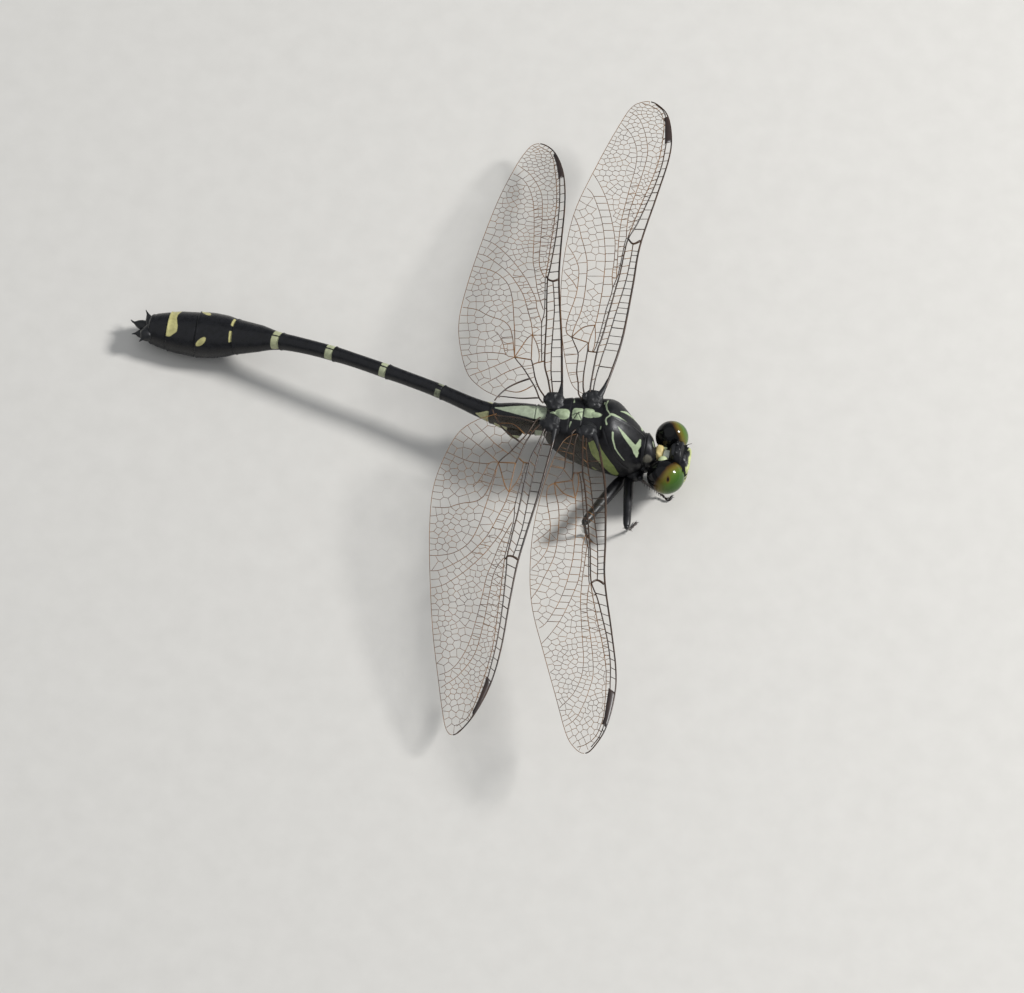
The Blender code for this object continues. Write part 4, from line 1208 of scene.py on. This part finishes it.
# ladders of crossveins: first vein, second vein, where they stand along the wing, their slant
foreLadders = [
    ("front", "subcosta", [2.85, 4.4, 5.0, 5.7, 6.45, 7.1, 7.8, 8.3, 8.8, 9.5, 10.1, 10.8, 11.4, 12.0,
        12.6, 13.2, 13.6], 0.0),
    ("subcosta", "radius", [1.6, 2.85, 4.1, 4.75, 5.3, 5.9, 6.5, 7.2, 7.9, 8.6, 9.3, 10.0, 10.7, 11.4,
        12.1, 12.8, 13.5], 0.15),
    ("front", "radius", [15.6, 16.6, 17.5, 18.4, 19.2, 20.0, 20.8, 21.6, 22.4, 23.2, 27.4, 27.9], 0.1),
    ("radius", "radialStem", [4.9, 5.8, 6.7, 7.6, 8.5, 9.4, 10.3, 11.2, 12.1, 13.0, 13.8], 0.1),
    ("radius", "radialFirst", [15.6, 16.4, 17.2, 18.0, 18.8, 19.6, 20.4, 21.2, 22.0, 22.7, 23.5, 24.6,
        25.6, 26.7, 27.4], 0.1),
    ("radialStem", "medianFront", [4.9, 5.8, 6.7, 7.5, 8.3, 9.1], 0.05),
    ("radialStem", "radialThird", [10.9, 11.8], 0.05),
    ("radialStem", "betweenRadials", [12.0, 12.9, 13.8], 0.1),
    ("radialSecond", "betweenRadials", [15.6, 16.4, 17.2, 18.0, 18.8, 19.6], 0.1),
    ("radialFirst", "radialSecond", [15.4, 16.2, 17.0, 17.9, 18.8], 0.15),
    ("betweenRadials", "radialThird", [11.6, 12.5, 13.4, 14.3], 0.05),
    ("radialThird", "medianFront", [10.2, 10.9, 11.6, 12.3, 13.0, 13.7, 14.4, 15.1, 15.7, 16.3, 16.9,
        17.5, 18.1], 0.05),
    ("medianBase", "anal", [1.2, 2.1, 3.0], 0.1),
    ("anal", "back", [1.1, 1.9, 2.7, 3.5], 0.1),
]
hindLadders = [
    ("front", "subcosta", [1.8, 2.8, 4.3, 5.2, 6.0, 7.1, 7.9, 8.8, 9.5, 10.2, 10.8, 11.3], 0.0),
    ("subcosta", "radius", [1.9, 2.8, 3.7, 4.6, 5.5, 6.3, 7.1, 8.0, 8.9, 9.8, 10.7, 11.4], 0.15),
    ("front", "radius", [12.8, 13.7, 14.6, 15.5, 16.4, 17.3, 18.2, 19.1, 20.0, 20.9, 21.8, 25.9,
        26.4], 0.1),
    ("radius", "radialStem", [4.6, 5.5, 6.4, 7.3, 8.2, 9.1, 10.0, 10.9, 11.6], 0.1),
    ("radius", "radialFirst", [13.0, 13.8, 14.6, 15.4, 16.2, 17.0, 17.8, 18.6, 19.4, 20.2, 21.0, 21.8,
        22.5, 23.3, 24.2, 25.2, 25.8], 0.12),
    ("radialStem", "medianFront", [4.8, 5.6, 6.4, 7.2], 0.05),
    ("radialStem", "betweenRadials", [10.0, 10.8, 11.6], 0.1),
    ("radialFirst", "radialSecond", [13.0, 13.8, 14.6, 15.5, 16.4, 17.3, 18.2], 0.1),
    ("radialSecond", "betweenRadials", [13.0, 13.9, 14.8, 15.7, 16.6, 17.5, 18.4, 19.3], 0.1),
    ("betweenRadials", "radialThird", [9.9, 10.6], 0.05),
    ("radialThird", "medianFront", [8.2, 9.0, 9.8, 10.6, 11.4, 12.2], 0.05),
    ("medianBase", "anal", [1.2, 2.1, 3.0], 0.1),
    ("cubitus", "cubitusBranch", [4.8, 5.4, 6.0], 0.05),
]
# fields filled with irregular cells: a point inside, and the cell width in mm there
foreFields = [
    ((20.5, -2.2), 0.50), ((24.0, 0.5), 0.46), ((12.0, -2.3), 0.66), ((12.0, -3.6), 0.62),
    ((9.0, -3.9), 0.70), ((5.3, -2.0), 0.72), ((22.5, -0.5), 0.48), ((11.6, -4.4), 0.6),
]
hindFields = [
    ((16.5, -4.3), 0.58), ((21.0, -1.4), 0.46), ((20.0, -2.3), 0.48), ((13.3, -5.0), 0.58),
    ((9.0, -3.3), 0.74), ((10.5, -6.0), 0.62), ((6.5, -6.6), 0.72), ((3.6, -6.0), 0.80),
    ((1.6, -4.4), 0.85), ((2.4, -6.6), 0.80), ((4.6, -2.75), 0.72), ((3.0, -2.5), 0.7),
]
# mm by which a main vein stands above or below the film, so the wing is pleated along them
pleats = {"subcosta": -0.10, "radius": 0.12, "radialStem": -0.06, "radialFirst": -0.05,
          "radialSecond": 0.05, "betweenRadials": -0.05, "radialThird": 0.05, "medianFront": -0.05,
          "medianRear": 0.05, "cubitus": -0.05}


def outlineOf(veins):
    # the margin as one smooth line, split at the tip into front and back: mm along, mm forward
    line = smoothLine([(*p, 0) for p in veins["front"] + veins["back"][-2::-1]], 0.1)
    tip = max(range(len(line)), key=lambda i: line[i].x)
    halves = {"front": line[:tip + 1], "back": line[tip:][::-1]}
    # each half has to run outward for the interpolation, so a tiny slope is added
    return {key: (np.maximum.accumulate([p.x for p in half]) + np.arange(len(half)) * 1e-7,
                  np.array([p.y for p in half])) for key, half in halves.items()}


def edgeAt(outline, edge, r):
    return float(np.interp(r, *outline[edge]))


def veinAt(line, r):
    return float(np.interp(r, [p[0] for p in line], [p[1] for p in line]))


def placeWing(name, veins):
    # the hinge and the directions of a wing, found from the solid's tip
    settings = wingSettings[name]
    side = 1 if name.endswith("left") else -1
    sweep = math.radians(settings["sweep"])
    along = Vector((math.sin(sweep), side * math.cos(sweep), 0))
    across = Vector((math.cos(sweep), -side * math.sin(sweep), 0))
    spots = verticesOf(name)
    reach = spots @ np.array(along)
    tip = Vector(spots[reach > reach.max() - 0.05].mean(0))
    length, drop = veins["front"][-1]
    rise = math.tan(math.radians(settings["rise"]))
    hinge = tip - along * length - across * drop
    hinge.z = tip.z - rise * length + settings["droop"] * length ** 2
    return {**settings, "hinge": hinge, "along": along, "across": across, "rise": rise,
            "length": length}


def pleatAt(veins, r, c):
    height = 0.0
    for name, lift in pleats.items():
        line = veins[name]
        start, end = line[0][0], line[-1][0]
        ends = fade(start - 1.0, start + 0.8, r) * fade(end + 0.6, end - 1.0, r)
        height += lift * math.exp(-((c - veinAt(line, r)) / 0.3) ** 2) * ends
    return height


def onWing(place, veins, r, c, lift=0.0):
    # a spot of the wing in the frame; the warp shifts the marks a little along this wing
    share = min(1.0, max(0.0, r / place["length"]))
    pleat = pleatAt(veins, r, c)
    r += place["warp"] * share ** 2 * (1 - share ** 8)
    point = place["hinge"] + place["along"] * r + place["across"] * c
    point.z += place["rise"] * r - place["droop"] * r * r + pleat + lift
    return point


def floodFields(veins, outline, fields):
    # the wing as small squares; the main veins wall off the fields of cells between them
    length, step = veins["front"][-1][0], cellSettings["step"]
    lowest = min(p[1] for p in veins["back"]) - 0.3
    wide, tall = int((length + 1.5) / step), int((2.5 - lowest) / step)
    wall = np.zeros((wide, tall), bool)
    for i in range(wide):
        r = i * step - 0.5
        for j in range(tall):
            c = lowest + j * step
            wall[i, j] = r < 0.1 or not edgeAt(outline, "back", r) < c < edgeAt(outline, "front", r)
    for line in veins.values():
        for p in smoothLine([(*q, 0) for q in line], 0.03):
            i, j = round((p.x + 0.5) / step), round((p.y - lowest) / step)
            if 0 <= i < wide and 0 <= j < tall:
                wall[i, j] = True
    labels = np.zeros((wide, tall), int)
    for number, ((r, c), _) in enumerate(fields, 1):
        stack = [(round((r + 0.5) / step), round((c - lowest) / step))]
        while stack:
            i, j = stack.pop()
            if 0 <= i < wide and 0 <= j < tall and not wall[i, j] and not labels[i, j]:
                labels[i, j] = number
                stack += [(i + 1, j), (i - 1, j), (i, j + 1), (i, j - 1)]
    return labels, lowest


def spreadCells(spots, count, rng):
    # middles of rounded cells that push each other apart, and the cell that each spot belongs to
    middles = spots[rng.sample(range(len(spots)), count)]
    for turn in range(cellSettings["rounds"] + 1):
        near = ((spots[:, None] - middles[None]) ** 2).sum(2).argmin(1)
        if turn < cellSettings["rounds"]:
            for n in range(count):
                if (near == n).any():
                    middles[n] = spots[near == n].mean(0)
    return middles, near


def cellWalls(labels, lowest, fields, seed):
    # fills each field with cells, and returns their walls as pairs of ends
    rng = random.Random(seed)
    step, overlap = cellSettings["step"], cellSettings["overlap"]
    walls = []
    for number, (_, width) in enumerate(fields, 1):
        squares = np.argwhere(labels == number)
        count = round(len(squares) * step * step / (cellSettings["filled"] * width * width))
        if count < 2:
            continue
        middles, near = spreadCells(squares * step + np.array([-0.5, lowest]), count, rng)
        owner = np.full(labels.shape, -1)
        owner[squares[:, 0], squares[:, 1]] = near
        borders = {}
        for a, b, di, dj in ((owner[:-1], owner[1:], 0.5, 0), (owner[:, :-1], owner[:, 1:], 0, 0.5)):
            for i, j in np.argwhere((a != b) & (a >= 0) & (b >= 0)):
                pair = (min(a[i, j], b[i, j]), max(a[i, j], b[i, j]))
                borders.setdefault(pair, []).append(((i + di) * step - 0.5, (j + dj) * step + lowest))
        for (m, n), marks in borders.items():
            middle = (middles[m] + middles[n]) / 2
            ahead = middles[n] - middles[m]
            ahead = np.array([-ahead[1], ahead[0]]) / np.hypot(*ahead)
            reach = (np.array(marks) - middle) @ ahead
            low, high = reach.min(), reach.max()
            if high - low > cellSettings["shortest"]:
                walls.append((middle + ahead * (low - overlap), middle + ahead * (high + overlap)))
    return walls


def lineInside(outline, line):
    # the part of a vein that lies inside the wing's margin, and its root
    return [p for p in line if p.x < 0.3
            or edgeAt(outline, "back", p.x) - 0.01 <= p.y <= edgeAt(outline, "front", p.x) + 0.01]


def makeFilm(name, length, outline, spot):
    # one sheet of small quads, finer towards the tip
    shell = newShell()
    count, across = filmSettings["along"], filmSettings["across"]
    for i in range(count + 1):
        r = length * (1 - (1 - i / count) ** filmSettings["gather"])
        low, high = edgeAt(outline, "back", r), edgeAt(outline, "front", r)
        shell["points"] += [spot(r, low + (high - low) * k / across) for k in range(across + 1)]
    for i in range(count):
        for k in range(across):
            a = i * (across + 1) + k
            shell["faces"].append((a, a + 1, a + across + 2, a + across + 1))
    makePiece(f"{name}_film", shell, wingFilm, [name], closed=False)


def makeVeins(name, veins, ladders, outline, cells, spot):
    # veins are hollow rods, here a little thicker than real so that they show
    dark, brown = newShell(), newShell()
    for vein, line in veins.items():
        start, end = veinRadii.get(vein, fineVein)
        if vein in outline:
            flat = [Vector((r, c, 0)) for r, c in zip(*outline[vein])][::2]
        else:
            flat = lineInside(outline, smoothLine([(*p, 0) for p in line], 0.2))
        if len(flat) < 2:
            continue
        radii = [start + (end - start) * i / (len(flat) - 1) for i in range(len(flat))]
        addTube(dark if vein in darkVeins else brown, [spot(p.x, p.y) for p in flat], radii, 7)
    for first, second, stands, slant in ladders:
        for n, r in enumerate(stands):
            ends = []
            for vein, along in ((first, r + slant), (second, r - slant)):
                c = edgeAt(outline, vein, along) if vein in outline else veinAt(veins[vein], along)
                ends.append(spot(along, c))
            thick = crossRadii.get(first, crossRadii["others"])
            if first == "front" and n in thickCrosses:
                thick = crossRadii["thick"]
            addTube(dark if first == "front" else brown, ends, thick, 5)
    makePiece(f"{name}_veins", dark, darkVein, [name])
    for start, end in cells:
        addTube(brown, [spot(*start), spot(*end)], cellSettings["radius"], 4)
    makePiece(f"{name}_cells", brown, brownVein, [name])


def makeStigma(name, kind, veins, outline, spot):
    # the dark cell near the tip, thicker than the film
    start, end = stigmaSettings[kind]
    count = stigmaSettings["steps"]
    shell = newShell()
    rings = []
    for i in range(count + 1):
        r = start + (end - start) * i / count
        low = veinAt(veins["radius"], r) - stigmaSettings["behind"]
        high = edgeAt(outline, "front", r) - stigmaSettings["ahead"]
        swell = stigmaSettings["swell"] * min(1.0, i / 2, (count - i) / 2) + stigmaSettings["least"]
        loop = [(low + (high - low) * k / 6, swell * (0.4 if k in (0, 6) else 1)) for k in range(7)]
        loop += [(c, -lift) for c, lift in reversed(loop)]
        rings.append([spot(r + stigmaSettings["slant"] * ((c - low) / (high - low) - 0.5), c, lift)
                      for c, lift in loop])
    joinRings(shell, rings)
    makePiece(f"{name}_stigma", shell, stigmaChitin, [name])


def makeHinge(name, kind, along, spot):
    # knobs with folds like leather, and the thick root of the front vein
    shell = newShell()
    spin = Vector((1, 0, 0)).rotation_difference(along).to_matrix()
    for r, c, long, wide, tall in hingeSettings["knobs"]:
        addBall(shell, spot(r, c, hingeSettings["sink"]), (long, wide, tall), 40, 24,
                hingeSettings["power"], spin)
    wrinkle(shell, hingeSettings["folds"])
    low, high = hingeSettings["spike"][kind]
    spike = smoothLine([spot(-0.5, low - 0.1, -0.1), spot(0.1, low, 0),
                        spot(0.8, (low + high) / 2, 0.02), spot(1.9, high, 0)], 0.08)
    addTube(shell, spike, radiiAlong(hingeSettings["spikeRadii"], spike), 14, 0.8)
    makePiece(f"{name}_hinge", shell, roughChitin, [name])


def makeWing(name, veins, ladders, outline, cells):
    place = placeWing(name, veins)

    def spot(r, c, lift=0.0):
        return onWing(place, veins, r, c, lift)

    makeFilm(name, place["length"], outline, spot)
    makeVeins(name, veins, ladders, outline, cells, spot)
    makeStigma(name, name[:4], veins, outline, spot)
    makeHinge(name, name[:4], place["along"], spot)


for kind, veins, ladders, fields in (("fore", foreVeins, foreLadders, foreFields),
                                     ("hind", hindVeins, hindLadders, hindFields)):
    outline = outlineOf(veins)
    labels, lowest = floodFields(veins, outline, fields)
    print(f"{kind}wing fields in square mm:",
          [round(float((labels == n).sum()) * cellSettings["step"] ** 2, 1)
           for n in range(1, len(fields) + 1)])
    for side in ("left", "right"):
        name = f"{kind}wing_{side}"
        cells = cellWalls(labels, lowest, fields, wingSettings[name]["seed"])
        makeWing(name, veins, ladders, outline, cells)
print("wings made")


floorSettings = {"radius": 2000, "rings": 40, "sides": 96, "colour": ("#cfccc6", "#d3d0ca")}
lightSettings = {"key": {"towards": (0.76, 0.20, 0.62), "distance": 550, "size": 110, "power": 3.2},
                 "fill": {"towards": (-0.35, -0.15, 0.90), "distance": 900, "size": 1600, "power": 1.9},
                 "world": ("#e6ecf4", 0.40)}
cameraSettings = {"azimuth": 8.5, "elevation": 60, "distance": 600, "sensor": 36, "lens": 263.67,
                  "aside": (9.54, -6.78, 0.02)}


def makeFloor():
    # heavy matt card, faintly fibrous
    material, tree, shader = newMaterial("studio card, matt", {"Roughness": 0.75, "IOR": 1.4})
    fibres = addNode(tree, "ShaderNodeTexNoise", {"Scale": 0.5, "Detail": 6.0},
                     {"Vector": millimetres(tree)})
    tree.links.new(ramp(tree, fibres.outputs["Fac"], [(0.3, floorSettings["colour"][0]),
                                                     (0.7, floorSettings["colour"][1])]),
                   shader.inputs["Base Color"])
    shell = newShell()
    rings = []
    for i in range(1, floorSettings["rings"] + 1):
        radius = floorSettings["radius"] * (i / floorSettings["rings"]) ** 2
        rings.append([Vector((radius * math.cos(turn), radius * math.sin(turn), 0))
                      for turn in turnsOf(floorSettings["sides"])])
    joinRings(shell, rings, True, False)
    mesh = bpy.data.meshes.new("floor")
    mesh.from_pydata([p * mm for p in shell["points"]], [], shell["faces"])
    mesh.materials.append(material)
    floor = bpy.data.objects.new("floor", mesh)
    bpy.context.scene.collection.objects.link(floor)


def makeLights(target):
    for name in ("key", "fill"):
        settings = lightSettings[name]
        lamp = bpy.data.lights.new(name, "AREA")
        lamp.shape = "DISK"
        lamp.size = settings["size"] * mm
        lamp.energy = settings["power"]
        towards = Vector(settings["towards"]).normalized()
        light = bpy.data.objects.new(name, lamp)
        light.location = (target + towards * settings["distance"]) * mm
        light.rotation_euler = towards.to_track_quat("Z", "Y").to_euler()
        bpy.context.scene.collection.objects.link(light)
    world = bpy.data.worlds.new("studio")
    bpy.context.scene.world = world
    world.use_nodes = True
    colour, strength = lightSettings["world"]
    world.node_tree.nodes["Background"].inputs["Color"].default_value = linearColour(colour)
    world.node_tree.nodes["Background"].inputs["Strength"].default_value = strength


def makeCamera(target):
    azimuth, elevation = [math.radians(cameraSettings[key]) for key in ("azimuth", "elevation")]
    back = Vector((math.sin(azimuth) * math.cos(elevation), -math.cos(azimuth) * math.cos(elevation),
                   math.sin(elevation)))
    lens = bpy.data.cameras.new("camera")
    lens.type = "PERSP"
    lens.sensor_width = cameraSettings["sensor"]
    lens.lens = cameraSettings["lens"]
    lens.clip_start, lens.clip_end = 0.01, 10
    camera = bpy.data.objects.new("camera", lens)
    camera.location = (target + back * cameraSettings["distance"]) * mm
    camera.rotation_euler = back.to_track_quat("Z", "Y").to_euler()
    bpy.context.scene.collection.objects.link(camera)
    bpy.context.scene.camera = camera
    bpy.context.scene.view_settings.view_transform = "Standard"


middle = (cadBox[0] + cadBox[1]) / 2 / mm
makeFloor()
makeLights(middle)
makeCamera(middle + Vector(cameraSettings["aside"]))
print("stage made")
